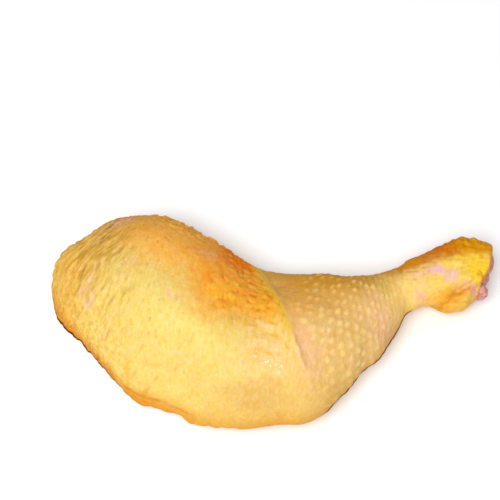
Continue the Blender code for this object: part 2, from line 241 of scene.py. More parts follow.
# Stretches of the leg, by x: where a form starts, where it is full, where it ebbs and where it ends
SCALLOPED = (-112, -98, -26, -12)
FLAP_CREASED = (-80, -74, -46, -38)
# The stretches of the painted shadow line along the near edge: at the hem and along the shank
SHADOW_LINE_HEM = (-119, -113, -79, -72)
SHADOW_LINE_SHANK = (8, 32, 70, 76)
PLEATED = (28, 50, 52, 66)


def side_swells(p):
    """Where the leg's near and far sides stand out or draw in a little."""
    near = sum(high * bell(p.x - at, wide) for at, wide, high in NEAR_SWELLS)
    far = sum(high * bell(p.x - at, wide) for at, wide, high in FAR_SWELLS)
    return near * smooth_step(0.2, 0.7, p.facing_near) + far * smooth_step(-0.4, -0.8, p.facing_near)


def flesh_forms(p):
    """The slow unevenness of the flesh under the skin, and the hollow of the thigh by the fold."""
    lumps = LUMP_HEIGHT * np.sin(p.x / LUMP_LENGTH + 1.2) * np.cos(p.y / LUMP_BREADTH + 0.4)
    lumps = lumps + SLANT_HEIGHT * np.sin((p.x + SLANT * p.y) / SLANT_LENGTH)
    hollow = HOLLOW_DEPTH * mound(p.x, p.y, HOLLOW_AT, HOLLOW_RADII) * smooth_step(12, 24, p.z)
    return lumps * smooth_step(LUMPS_END, LUMPS_FADE, p.x) - hollow + side_swells(p)


def fold_lip(p):
    """Skin that swells towards the fold behind the knee and drops at its edge."""
    past = p.x - fold_line(p.y)
    swell = FOLD_HEIGHT * smooth_step(-FOLD_RUN_UP, -1, past)
    lip = swell * (1 - smooth_step(0, FOLD_DROP, past))
    hollow = -0.5 * FOLD_HEIGHT * bell(past - 4.0, 5.0) * (past > 0)
    shown = smooth_step(FOLD_NEAR_END - FOLD_FADE, FOLD_NEAR_END, p.y) * smooth_step(14, 22, p.z)
    return (lip + hollow) * shown


def fold_tail(p):
    """The thin raised line that the fold ends in, down towards the kneecap, and the groove by it."""
    past = p.x - fold_line(p.y) - 0.9 * cloudy(p, 3.6, 61.0)
    shown = between(p.y, TAIL_END, TAIL_END + 4, TAIL_START - 4, TAIL_START + 4)
    shown = shown * (0.65 + 0.7 * cloudy(p, 2.2, 64.0))
    return bell(past, TAIL_WIDTH) * shown, bell(past - 3 * TAIL_WIDTH, TAIL_WIDTH) * shown


def hem_scallops(p):
    """The uneven line of the cut skin along the near side of the thigh."""
    along = p.x - p.y
    waves = sum(size * np.sin(along / length + phase) for size, length, phase in SCALLOPS)
    waves = SCALLOP_SHARE * waves + clouds(p, HEM_CLOUDS)
    waves = waves + BULGE_HEIGHT * bell(p.x - BULGE_AT, BULGE_WIDTH)
    notch = NOTCH_DEPTH * bell(p.x - NOTCH_AT, NOTCH_WIDTH)
    near_side = smooth_step(SCALLOPS_TOP, SCALLOPS_FULL, p.z) * smooth_step(0.3, 0.8, p.facing_near)
    return (waves - notch) * near_side * between(p.x, *SCALLOPED)


def hip_scallops(p):
    """Small tucks in the rim of the hip end's far side."""
    along = TUCK_WAY[0] * p.x + TUCK_WAY[1] * p.y + 1.6 * cloudy(p, 5.0, 88.0)
    tucks = TUCK_HEIGHT * (np.abs(np.sin(math.pi * along / TUCK_LENGTH)) - 0.6)
    return tucks * smooth_step(-90, -100, p.x) * smooth_step(24, 36, p.y) * smooth_step(27, 18, p.z)


def hock_relief(p):
    """Scaly ridges on the far side of the hock, and the crease over its near lobe."""
    on_hock = smooth_step(HOCK_START, HOCK_FULL, p.x)
    ridges = RIDGE_HEIGHT * np.sin((p.x + RIDGE_LEAN * p.y) / RIDGE_LENGTH + 2.2 * cloudy(p, 6.0, 91.0))
    ridges = ridges * (0.5 + 0.8 * cloudy(p, 5.0, 95.0))
    ridges = ridges * smooth_step(38, 46, p.y) * smooth_step(112, 106, p.x)
    aside = p.y - CREASE_AT - CREASE_LEAN * (p.x - HOCK_FULL)
    crease = CREASE_DEPTH * bell(aside, CREASE_WIDTH)
    crease = crease * smooth_step(108, 102, p.x) * smooth_step(8, 14, p.z)
    lobe = LOBE_HEIGHT * mound(p.x, p.y, LOBE_AT, LOBE_RADII) * smooth_step(6, 12, p.z)
    return (ridges + lobe - crease) * on_hock


def skin_folds(p):
    return np.maximum(fold_lip(p) + hem_scallops(p) + hip_scallops(p) + hock_relief(p), -DEEPEST_DENT)


# --- Fine relief --------------------------------------------------------------------------------

LATTICE = 64
DRAWS = np.random.default_rng(31).random((LATTICE, LATTICE, 3))
CLOUD = np.random.default_rng(47).random((LATTICE, LATTICE, LATTICE))


def cloudy(p, size, phase=0.0):
    """Smooth noise between -1 and 1 with lumps of this size."""
    spot = np.stack([p.x, p.y, p.z], axis=-1) / size + 1000.0 + phase
    cell = np.floor(spot).astype(int)
    share = spot - cell
    share = share * share * (3 - 2 * share)
    total = 0
    for corner in np.ndindex(2, 2, 2):
        weight = np.prod(np.where(corner, share, 1 - share), axis=-1)
        i, j, k = np.moveaxis((cell + corner) % LATTICE, -1, 0)
        total = total + weight * CLOUD[i, j, k]
    return 2 * total - 1


def clouds(p, layers):
    return sum(high * cloudy(p, size, phase) for high, size, phase in layers)


# The nearest dot of a scattered lattice: the way to it, its own draw, its distance and how much
# further the next dot is
Dots = namedtuple("Dots", "aside ahead draw distance edge")


def nearest_dots(u, v, scatter):
    """Rows of dots a unit apart, each shifted by half a step, scattered a little."""
    shape = np.broadcast(u, v).shape
    first, second = np.full(shape, np.inf), np.full(shape, np.inf)
    aside, ahead, draw = np.zeros(shape), np.zeros(shape), np.zeros(shape)
    middle_row = np.round(v)
    for row in (middle_row - 1, middle_row, middle_row + 1):
        shift = 0.5 * np.mod(row, 2)
        middle_dot = np.round(u - shift)
        for dot in (middle_dot - 1, middle_dot, middle_dot + 1):
            draws = DRAWS[row.astype(int) % LATTICE, dot.astype(int) % LATTICE]
            du = u - dot - shift - scatter * (draws[..., 0] - 0.5)
            dv = v - row - scatter * (draws[..., 1] - 0.5)
            distance = np.hypot(du, dv)
            nearer = distance < first
            second = np.where(nearer, first, np.minimum(second, distance))
            first = np.where(nearer, distance, first)
            aside, ahead = np.where(nearer, du, aside), np.where(nearer, dv, ahead)
            draw = np.where(nearer, draws[..., 2], draw)
    return Dots(aside, ahead, draw, first, second - first)


# How high each kind of fine relief stands, from 0 to 1; the colours follow it too
Pattern = namedtuple(
    "Pattern", "papilla pleat streak cobble crack orange wrinkle trough scale tail groove bead border rim"
)

# How far each kind rises from the skin or sinks into it, and the heights of the relief without a mask
RISES = {"papilla": 0.8, "pleat": 0.2, "cobble": 0.6, "wrinkle": 0.45, "tail": 0.3, "bead": 1.0}
SINKS = {"streak": 0.42, "crack": 0.25, "orange": 0.24, "trough": 0.225, "scale": 0.28, "groove": 0.4}
STREAK_LIP, PIMPLE_HEIGHT, KNOB_HEIGHT, GRAIN_HEIGHT = 0.168, 0.7, 1.8, 0.34

# The drumstick's papillae stand in chains round the leg, which draw closer towards the ankle
PAPILLA_SPAN, PAPILLA_SCATTER = 5.9, 0.5
PAPILLA_STEP, PAPILLA_STEP_AT_ANKLE = 5.7, 3.3
PAPILLA_LENGTH, PAPILLA_WIDTH = 2.7, 0.6

# The thigh's follicles are drawn out into slanting strokes, with a low lip beside each
STREAK_ROWS, STREAK_STEP, STREAK_SCATTER = 7.3, 3.4, 0.95
STREAK_WIDTH, STREAK_LENGTH = 0.6, 3.8

# The low ridges between them, near and far at the hip end: how high, how they lean, which noise
NEAR_GRAIN, FAR_GRAIN, GRAIN_STRETCH = (1.2, 0.52, 7.0), (1.7, 0.95, 107.0), 0.22

# The orange skin behind the knee is cobbled
COBBLE_SIZE, COBBLE_SCATTER = 4.3, 0.95
COBBLES_START, COBBLES_FULL = -40, -20
ORANGE_AT, ORANGE_RADII, ORANGE_BLUNTNESS = (-13.0, 27.0), (33.0, 31.0), 3

# The hock's scales
SCALE_STEP, SCALE_SPAN, SCALE_SCATTER = 2.3, 6.5, 0.6

# The low bead along the near edge, where the leg turns under, with a painted dark red shadow line
BEAD_WIDTH, BEAD_RAISED, BEAD_STEADIED = 1.2, 0.7, 25
RAISED_AT_SHANK, RAISED_AT_HEM = 1.1, 0.3
TURNING_UNDER, COLUMNS_BEFORE_RIM = 0.58, 12

# Deeper colour along that edge, partly painted shade: where it starts, is full, ebbs, ends, up round the leg
BORDER = (-16.0, -2, 4, 14)

# Wrinkles round the kneecap: ridges with painted highlight, troughs between them in golden painted shade
KNEE_AT, KNEE_RADII = (-4.0, -23.0), (9.0, 11.0)
KNEE_RIDGES = (
    ((-15.5, -8.1), (-9.3, -4.4), (0.5, -7.8), (4.9, -11.5)),
    ((-13.8, -16.9), (-7.3, -13.8), (-2.1, -15.8), (0.9, -18.6)),
    ((-1.5, -23.5), (0.3, -26.8), (1.2, -30.6)),
)
KNEE_TROUGHS = (
    ((-11.5, -10.7), (-4.4, -10.3), (-0.1, -11.4), (3.6, -14.2), (5.9, -17.6)),
    ((-4.4, -3.0), (1.1, -5.1), (5.5, -9.7)),
    ((-13.2, -19.8), (-8.7, -19.0), (-5.1, -19.4), (-2.1, -21.6)),
)
WRINKLE_WIDTH, WRINKLE_WANDER = 1.1, 1.8

# Long creases at the hip end and over the ankle, and the lit lip beside each
LONG_CREASES = (
    ((-85.9, 58.1), (-91.0, 45.1), (-98.8, 40.3)),
    ((-89.3, 30.6), (-90.7, 22.4), (-93.1, 15.5)),
    ((-85.5, 32.1), (-87.3, 26.6)),
    ((-95.7, 31.9), (-100.6, 25.3)),
    ((-103.5, 25.4), (-108.1, 16.8)),
    ((-77.5, 41.7), (-80.6, 34.5)),
    ((64.1, 32.0), (67.6, 28.5), (72.5, 26.6)),
    ((69.0, 32.0), (74.0, 31.4), (76.9, 29.3)),
    ((77.3, 33.3), (82.8, 34.0)),
)
CREASE_LINE, CREASE_WANDER = 0.8, 0.5
LIP_ASIDE, LIP_UP, LIP_SHARE = -1.9, 0.9, 0.6

# The crease of the flap's border along the near side of the thigh
FLAP_BORDER, FLAP_CREASE = 7.5, 1.0


def chains_before(p):
    """How many chains of papillae lie between the fold and each place."""
    share = (p.along - FOLD_ALONG) / DRUM_LENGTH
    step = PAPILLA_STEP + (PAPILLA_STEP_AT_ANKLE - PAPILLA_STEP) * share
    closing = (PAPILLA_STEP - PAPILLA_STEP_AT_ANKLE) / DRUM_LENGTH
    return -np.log(np.maximum(step, 1.0) / PAPILLA_STEP) / closing


def papillae(p):
    """Soft bumps on the drumstick, chained across it, which run together towards the ankle."""
    count = chains_before(p) + clouds(p, PAPILLA_CLOUDS)
    dots = nearest_dots(p.girth / PAPILLA_SPAN, count, PAPILLA_SCATTER)
    aside = dots.aside * PAPILLA_SPAN / PAPILLA_LENGTH
    ahead = dots.ahead / PAPILLA_WIDTH
    distance = np.hypot(aside, ahead) + 0.12 * cloudy(p, 2.4, 70.0)
    bump = (1 - smooth_step(0.0, 1.0, distance)) * (0.5 + 0.7 * dots.draw)
    above = smooth_step(2, 10, p.z)
    shown = smooth_step(2.0, 11.0, p.x - fold_line(p.y)) * smooth_step(68, 48, p.x - 0.2 * (p.y - 15))
    shown = shown * (1 - 0.85 * smooth_step(8, 20, p.y) * smooth_step(20, 9, p.x))
    bump = bump * shown * above * (0.75 + 0.35 * cloudy(p, 11.0, 33.0))
    pleat = (0.5 + 0.5 * np.cos(2 * math.pi * count)) * (0.65 + 0.5 * cloudy(p, 5.0, 23.0))
    pleated = between(p.x, *PLEATED) * smooth_step(20, 4, p.y - 0.2 * p.x)
    return bump, pleat * pleated * above


def streaks(p):
    """Follicles of the thigh, drawn out along a slant that rights itself towards the knee."""
    lean = 0.12 + 0.45 * smooth_step(-48, -84, p.x)
    across = p.x - lean * p.y + 0.9 * cloudy(p, 7.0, 15.0)
    dots = nearest_dots(across / STREAK_STEP, p.y / STREAK_ROWS, STREAK_SCATTER)
    aside, ahead = dots.aside * STREAK_STEP, np.abs(dots.ahead) * STREAK_ROWS
    length = STREAK_LENGTH * (0.4 + 0.8 * dots.draw) * (0.4 + 0.6 * smooth_step(-55, -88, p.x))
    run = smooth_step(length, 0.3 * length, ahead) * (0.35 + 0.65 * dots.draw)
    stroke = bell(aside, STREAK_WIDTH) * run
    lip = bell(aside - 2 * STREAK_WIDTH, 1.3 * STREAK_WIDTH) * run
    shown = smooth_step(-18, -66, p.x) * (1 - orange_area(p)) * smooth_step(3, 10, p.z)
    shown = shown * (0.8 + 0.6 * cloudy(p, 10.0, 19.0))
    return stroke * shown, lip * shown


def drawn_out_ridges(p, high, lean, phase):
    drawn_out = p._replace(x=p.x - lean * p.y, y=p.y * GRAIN_STRETCH, z=p.z * GRAIN_STRETCH)
    return high * clouds(drawn_out, ((1.0, 1.7, phase), (0.5, 0.95, phase + 10.0)))


def slanting_grain(p):
    """Long low ridges between the streaks at the hip end, steeper and coarser on its far side."""
    near = drawn_out_ridges(p, *NEAR_GRAIN) * smooth_step(-58, -92, p.x)
    far = drawn_out_ridges(p, *FAR_GRAIN) * smooth_step(-66, -84, p.x)
    share = smooth_step(20, 36, p.y)
    return (near * (1 - share) + far * share) * smooth_step(3, 10, p.z)


def orange_area(p):
    """Where the skin behind the knee is orange and cobbled: from 0 to 1."""
    along, across = (p.x - ORANGE_AT[0]) / ORANGE_RADII[0], (p.y - ORANGE_AT[1]) / ORANGE_RADII[1]
    rim = (np.abs(along) ** ORANGE_BLUNTNESS + np.abs(across) ** ORANGE_BLUNTNESS) ** (1 / ORANGE_BLUNTNESS)
    before_fold = smooth_step(1.2, -1.2, p.x - fold_line(p.y))
    return smooth_step(1.25, 0.7, rim + clouds(p, ORANGE_CLOUDS)) * before_fold * smooth_step(8, 14, p.z)


def cobbles(p):
    """Low domes, and the short dark wrinkles between some of them."""
    lean = p.x * 0.8 + p.y * 0.6
    aside = p.y * 0.8 - p.x * 0.6
    wander = 0.25 * cloudy(p, 2.6, 27.0)
    dots = nearest_dots(lean / COBBLE_SIZE + wander, aside / COBBLE_SIZE - wander, COBBLE_SCATTER)
    dome = 1 - smooth_step(0.0, 0.62, dots.distance + 0.08 * cloudy(p, 1.2, 2.0))
    crack = (1 - smooth_step(0.02, 0.22, dots.edge)) * smooth_step(0.1, 0.45, cloudy(p, 2.0, 97.0))
    fresh = smooth_step(COBBLES_START, COBBLES_FULL, p.x)
    return dome * (0.55 + 0.6 * dots.draw) * (0.35 + 0.65 * fresh), crack * fresh


def line_distance(p, line):
    """Distance from each place, as seen from above, to the line through these points."""
    nearest = np.full(np.shape(p.x), np.inf)
    for (x, y), (end_x, end_y) in zip(line, line[1:]):
        run_x, run_y = end_x - x, end_y - y
        share = np.clip(((p.x - x) * run_x + (p.y - y) * run_y) / (run_x**2 + run_y**2), 0, 1)
        nearest = np.minimum(nearest, np.hypot(p.x - x - share * run_x, p.y - y - share * run_y))
    return nearest


def drawn(p, lines, width, wander, least):
    """Soft lines through given points, which wander and come and go."""
    strayed = p._replace(x=p.x + wander * cloudy(p, 3.4, 8.0), y=p.y + wander * cloudy(p, 3.0, 28.0))
    nearest = np.min([line_distance(strayed, line) for line in lines], axis=0)
    return bell(nearest, width) * np.clip(least + 1.2 * cloudy(p, 2.6, 38.0), 0, 1)


def knee_wrinkles(p):
    """Crumpled ridges over the kneecap on the side of the fold, and the troughs between them."""
    above = smooth_step(10, 20, p.z) * smooth_step(7.0, 3.0, p.x - fold_line(p.y))
    return (drawn(p, ls, WRINKLE_WIDTH, WRINKLE_WANDER, 0.45) * above for ls in (KNEE_RIDGES, KNEE_TROUGHS))


def long_creases(p):
    """The long creases at both ends and the lit lips beside them."""
    above = smooth_step(10, 20, p.z)
    beside = p._replace(x=p.x - LIP_ASIDE, y=p.y - LIP_UP)
    return (drawn(q, LONG_CREASES, CREASE_LINE, CREASE_WANDER, 0.8) * above for q in (p, beside))


def flap_crease(p):
    """The crease inside the border of the skin along the near side of the thigh."""
    line = bell(below_near_edge(p) + FLAP_BORDER + 1.4 * cloudy(p, 7.0, 75.0), FLAP_CREASE)
    return line * between(p.x, *FLAP_CREASED) * np.clip(0.8 + 0.8 * cloudy(p, 4.0, 79.0), 0, 1)


def hock_scales(p):
    """Shallow creases across the far side of the hock, which break it into low scales."""
    across = p.along / SCALE_STEP + 0.3 * cloudy(p, 4.0, 77.0)
    dots = nearest_dots(across, p.girth / SCALE_SPAN, SCALE_SCATTER)
    creases = (1 - smooth_step(0.02, 0.3, dots.edge)) * (0.6 + 0.5 * cloudy(p, 5.0, 71.0))
    return creases * smooth_step(82, 94, p.x) * smooth_step(35, 45, p.y - 0.1 * (p.x - 90))


def far_goose_bumps(p):
    """The cobbles go on past the orange skin, down the thigh's far side."""
    return 0.9 * smooth_step(-62, -44, p.x) * smooth_step(30, 40, p.y) * smooth_step(4, 9, p.z)


def far_knobs(p):
    """Coarse goose bumps on the thigh's far side, which show in its outline."""
    knobs = np.maximum(cloudy(p, 2.1, 66.0), -0.1) + 0.5 * np.maximum(cloudy(p, 1.2, 68.0), 0)
    shown = smooth_step(-72, -56, p.x) * smooth_step(30, 42, p.y + 0.35 * p.x) * smooth_step(3, 8, p.z)
    return KNOB_HEIGHT * knobs * shown * smooth_step(2, -4, p.x - fold_line(p.y))


def below_near_edge(p):
    """Distances round each ring from the line where the near side turns under the leg."""
    turned_under = p.facing_down > TURNING_UNDER * p.facing_near
    turned_under[:, : FAR_COLUMNS + TOP_COLUMNS - COLUMNS_BEFORE_RIM] = False
    turned_under[:, -1] = True
    edge = p.girth[np.arange(len(p.girth)), np.argmax(turned_under, axis=1)]
    margin = BEAD_STEADIED // 2
    steadied = np.convolve(np.pad(edge, margin, "edge"), np.ones(BEAD_STEADIED) / BEAD_STEADIED, "valid")
    return steadied[:, None] - p.girth


def painted_shadow_bead(p):
    """A painted dark red shadow line along the near edge, on a low bead, in two stretches."""
    hem, shank = between(p.x, *SHADOW_LINE_HEM), between(p.x, *SHADOW_LINE_SHANK)
    raised = BEAD_RAISED + RAISED_AT_SHANK * shank + RAISED_AT_HEM * hem
    line = bell(below_near_edge(p) + raised + clouds(p, BEAD_CLOUDS), BEAD_WIDTH)
    return (hem + shank) * line * np.clip(0.85 + 0.35 * shank + clouds(p, BEAD_BREAKS), 0, 1)


def near_border(p):
    """How near a place is to the near edge: deeper colour there, partly painted shade as it turns under."""
    return between(below_near_edge(p), *BORDER) * smooth_step(84, 70, p.x)


def pattern_of(p):
    bump, pleat = papillae(p)
    stroke, _ = streaks(p)
    orange = orange_area(p)
    dome, crack = cobbles(p)
    ridge, trough = knee_wrinkles(p)
    tail, tail_groove = fold_tail(p)
    crease, lip = long_creases(p)
    return Pattern(
        papilla=bump,
        pleat=pleat,
        streak=stroke,
        cobble=dome * np.maximum(orange, far_goose_bumps(p)),
        crack=crack * orange,
        orange=orange,
        wrinkle=np.maximum(ridge, LIP_SHARE * lip),
        trough=trough,
        scale=hock_scales(p),
        tail=tail,
        groove=np.max([1.3 * tail_groove, crease, flap_crease(p)], axis=0),
        bead=painted_shadow_bead(p),
        border=near_border(p),
        rim=np.zeros_like(bump),
    )


def fine_relief(p, pattern):
    """The small forms that stand on the skin, in millimetres."""
    raised = sum(high * getattr(pattern, kind) for kind, high in RISES.items())
    sunk = sum(deep * getattr(pattern, kind) for kind, deep in SINKS.items())
    _, lip = streaks(p)
    pimples = np.maximum(cloudy(p, 1.5, 21.0), 0) ** 2 * mound(p.x, p.y, KNEE_AT, KNEE_RADII)
    relief = raised - sunk + STREAK_LIP * lip + PIMPLE_HEIGHT * pimples + far_knobs(p)
    return relief + GRAIN_HEIGHT * slanting_grain(p) + clouds(p, SKIN_CLOUDS)


# --- The skin -----------------------------------------------------------------------------------

RINGS, HIP_RINGS, HOCK_RINGS = 364, 22, 5
TOP_COLUMNS, NEAR_COLUMNS, FAR_COLUMNS = 150, 29, 34
COARSER, INNER_FIRST_RING = 4, 12
MOUTH_THICKENING = 0.9
RIM_WIDTH, EDGE_RELIEF = 1.8, 0.8
FAR_FROM_HEM = 50.0
MIDDLE_UNDER = 1.5 * math.pi
ANKLE_SHARE = 0.74
CUT_SLANT, CUT_SLANT_START, CUT_SLANT_FULL, CUT_SLANT_RUN = 3.0, -2.0, -12.0, 13.0


def along_fold():
    """How far along the leg the fold crosses its middle line."""
    along = np.linspace(0, LEG_LENGTH, 500)
    section = sections_at(along)
    middle = (section.far + section.near) / 2
    return float(np.interp(0.0, middle[:, 0] - fold_line(middle[:, 1]), along))


FOLD_ALONG = along_fold()
DRUM_LENGTH = ANKLE_SHARE * LEG_LENGTH - FOLD_ALONG


def hem_height(x):
    return HEM_HEIGHT + sum(size * np.sin(x / length + phase) for size, length, phase in HEM_WAVES)


def hem_angles(along):
    """The angles of the far and the near hem, which meet under the leg where the sleeve is shut."""
    under = np.linspace(math.pi, MIDDLE_UNDER, 240)
    points = section_points(along, np.broadcast_to(under, (len(along), len(under))))
    above_hem = points[..., 2] > hem_height(points[..., 0])
    near = under[np.minimum(np.sum(above_hem, axis=1), len(under) - 1)]
    section = sections_at(along)
    width = np.linalg.norm(section.far[:, :2] - section.near[:, :2], axis=1)
    far = -np.arccos(np.clip(1 - 2 * WINDOW_FAR_INSET / width, -1, 1))
    share = (along / LEG_LENGTH - WINDOW_START) / (WINDOW_END - WINDOW_START)
    open_share = np.sqrt(np.clip(1 - np.abs(2 * share - 1) ** WINDOW_BLUNTNESS, 0, 1))
    shut_far = MIDDLE_UNDER - 2 * math.pi
    return shut_far + (far - shut_far) * open_share, MIDDLE_UNDER + (near - MIDDLE_UNDER) * open_share


def column_angles(along):
    """Angles of the skin's columns in each ring, from the far hem over the crest to the near hem."""
    far, near = hem_angles(along)
    share = np.linspace(0, 1, FAR_COLUMNS, endpoint=False)
    far_side = far[:, None] * (1 - share)
    top = np.broadcast_to(np.linspace(0, math.pi, TOP_COLUMNS), (len(along), TOP_COLUMNS))
    share = np.linspace(0, 1, NEAR_COLUMNS + 1)[1:]
    near_side = math.pi + (near[:, None] - math.pi) * share
    return np.concatenate([far_side, top, near_side], axis=1)


def ring_distances():
    """Distances along the leg of the skin's rings up to the rolled edge at the hock."""
    turns = np.linspace(0.04, math.pi / 2, HIP_RINGS, endpoint=False)
    hip = HIP_ROUND * (1 - np.cos(turns))
    return np.concatenate([hip, np.linspace(HIP_ROUND, LEG_LENGTH - HOCK_ROLL, RINGS - HIP_RINGS)])


def grid_normals(points):
    """Unit normals of a grid of rings, facing out."""
    normals = np.cross(np.gradient(points, axis=1), np.gradient(points, axis=0))
    return normals / np.maximum(np.linalg.norm(normals, axis=2, keepdims=True), 1e-9)


def arc_lengths(points):
    """Distances round each ring from its first column."""
    steps = np.linalg.norm(np.diff(points, axis=1), axis=2)
    return np.concatenate([np.zeros((len(points), 1)), np.cumsum(steps, axis=1)], axis=1)


def place_of(points, along, normals, arcs, crest=FAR_COLUMNS + TOP_COLUMNS // 2):
    """The places of a grid's points, given the column that runs along the leg's crest."""
    girth = arcs[:, crest : crest + 1] - arcs
    along = np.broadcast_to(along[:, None], arcs.shape)
    return Place(along, girth, *np.moveaxis(points, 2, 0), -normals[..., 1], -normals[..., 2])


def rolled_in(distance, radius):
    """How far an edge of this radius draws in at this distance from its rim."""
    share = np.clip(1 - distance / radius, 0, 1)
    return radius * (1 - np.sqrt(1 - share**2))


def placed(name, data):
    """A new object of the scene, given its mesh, lamp or lens."""
    thing = bpy.data.objects.new(name, data)
    bpy.context.scene.collection.objects.link(thing)
    return thing


def above_table(points, floor=0.0):
    points = points.copy()
    points[..., 2] = np.maximum(points[..., 2], floor)
    return points


def outer_skin():
    """The skin's outside as a grid of rings and columns.

    With it go the rings' distances along the leg, which rings the window opens, how far each
    place is from the hem, and the pattern.
    """
    along = ring_distances()
    angles = column_angles(along)
    base = section_points(along, angles)
    normals = grid_normals(base)
    arcs = arc_lengths(base)
    place = place_of(base, along, normals, arcs)
    far, near = hem_angles(along)
    is_open = near - far < 2 * math.pi - 1e-6
    to_hem = np.where(is_open[:, None], np.minimum(arcs, arcs[:, -1:] - arcs), FAR_FROM_HEM)
    points = section_points(along, angles, rolled_in(to_hem, HEM_ROLL))
    pattern = pattern_of(place)
    calm = smooth_step(0.3, 3.0, to_hem) * smooth_step(0, 2.5, place.along)
    relief = flesh_forms(place) + skin_folds(place) + calm * fine_relief(place, pattern)
    points = points + normals * relief[..., None]
    last, edge = rolled_edge(angles[-1], normals[-1] * relief[-1][:, None])
    along = np.concatenate([along, last])
    masks = [np.concatenate([m, np.repeat(m[-1:], HOCK_RINGS, axis=0)]) for m in pattern]
    masks[-1] = masks[-1] + smooth_step(LEG_LENGTH - RIM_WIDTH, LEG_LENGTH, along)[:, None]
    to_hem = np.concatenate([to_hem, np.repeat(to_hem[-1:], HOCK_RINGS, axis=0)])
    is_open = np.concatenate([is_open, np.zeros(HOCK_RINGS, bool)])
    points = slant_cut(np.concatenate([points, edge]))
    return above_table(points), along, is_open, to_hem, Pattern(*masks)


def rolled_edge(angles, raised):
    """The rings of the edge that rolls in at the hock's cut, and how far along the leg they are."""
    turns = np.linspace(0, math.pi / 2, HOCK_RINGS + 1)[1:]
    along = LEG_LENGTH - HOCK_ROLL * (1 - np.sin(turns))
    angles = np.broadcast_to(angles, (HOCK_RINGS, len(angles)))
    drawn_in = np.broadcast_to(HOCK_ROLL * (1 - np.cos(turns))[:, None], angles.shape)
    fade = np.cos(turns)[:, None, None] * EDGE_RELIEF
    return along, section_points(along, angles, drawn_in) + raised * fade


def mouth_inset(along, inset):
    """An inset that grows towards the cut, where the skin is thicker."""
    return inset + MOUTH_THICKENING * smooth_step(LEG_LENGTH - 9, LEG_LENGTH - 3, along)[:, None]


def inner_skin(along):
    """The skin's inside: the same rings and columns, drawn in by its thickness."""
    angles = column_angles(np.minimum(along, LEG_LENGTH - HOCK_ROLL))
    base = section_points(along, angles, mouth_inset(along, SKIN_THICKNESS))
    normals = grid_normals(base)
    place = place_of(base, along, normals, arc_lengths(base))
    points = slant_cut(base + normals * flesh_forms(place)[..., None])
    return above_table(points, SKIN_THICKNESS + UNDERSIDE_FAT)


def slant_cut(points):
    """Draws the near side of the hock's cut back towards the ankle, where the tendon shows."""
    middle, outward, across = cut_frame()
    aside, before = (points - middle) @ across, -((points - middle) @ outward)
    pull = CUT_SLANT * smooth_step(CUT_SLANT_START, CUT_SLANT_FULL, aside)
    return points - outward * (pull * smooth_step(CUT_SLANT_RUN, 0, before))[..., None]


class Shell:
    """Faces between numbered corners, gathered while a closed body is sewn together."""

    def __init__(self):
        self.corners = []
        self.faces = []
        self.count = 0

    def add(self, points):
        numbers = self.count + np.arange(points[..., 0].size).reshape(points.shape[:-1])
        self.corners.append(points.reshape(-1, 3))
        self.count += numbers.size
        return numbers

    def sheet(self, numbers, flipped=False):
        """Quads between the rings of a grid."""
        a, b = numbers[:-1, :-1].ravel(), numbers[:-1, 1:].ravel()
        c, d = numbers[1:, 1:].ravel(), numbers[1:, :-1].ravel()
        quads = np.stack([a, b, c, d] if not flipped else [a, d, c, b], axis=1)
        self.faces.extend(quads.tolist())

    def sew(self, fine, coarse, flipped=False):
        """Triangles between an edge and one with a quarter of its corners."""
        for i in range(len(coarse) - 1):
            row = fine[i * COARSER : i * COARSER + COARSER + 1]
            first, last = coarse[i], coarse[i + 1]
            half = len(row) // 2
            fan = [(row[k], row[k + 1], first if k < half else last) for k in range(len(row) - 1)]
            fan.append((row[half], last, first))
            self.faces.extend(tuple(reversed(f)) if flipped else f for f in fan)

    def fan(self, ring, tip, flipped=False):
        for a, b in zip(ring, np.roll(ring, -1)):
            self.faces.append((tip, a, b) if flipped else (tip, b, a))


def piece_of(name, corners, faces, masks):
    """An object from corners in millimetres, with a value at each corner for every mask."""
    used = np.unique(np.concatenate([np.ravel(face) for face in faces]))
    renumbered = np.zeros(len(corners), int)
    renumbered[used] = np.arange(len(used))
    mesh = bpy.data.meshes.new(name)
    faces = [renumbered[list(face)].tolist() for face in faces]
    mesh.from_pydata(((corners[used] - FOOTPRINT_MIDDLE) * MM).tolist(), [], faces)
    for mask, values in masks.items():
        layer = mesh.attributes.new(mask, "FLOAT", "POINT")
        layer.data.foreach_set("value", np.ascontiguousarray(values[used], np.float32))
    mesh.shade_smooth()
    return placed(name, mesh)


def closed_body(name, rings, tips, masks, flipped=False):
    """A piece of rings that each meet themselves, between two tips."""
    shell = Shell()
    numbers = shell.add(rings)
    numbers = np.concatenate([numbers, numbers[:, :1]], axis=1)
    shell.sheet(numbers, flipped)
    ends = shell.add(tips)
    shell.fan(numbers[0, :-1], ends[0], flipped)
    shell.fan(numbers[-1, :-1], ends[1], not flipped)
    masks = {mask: np.pad(values.ravel(), (0, 2)) for mask, values in masks.items()}
    return piece_of(name, np.concatenate(shell.corners), shell.faces, masks)


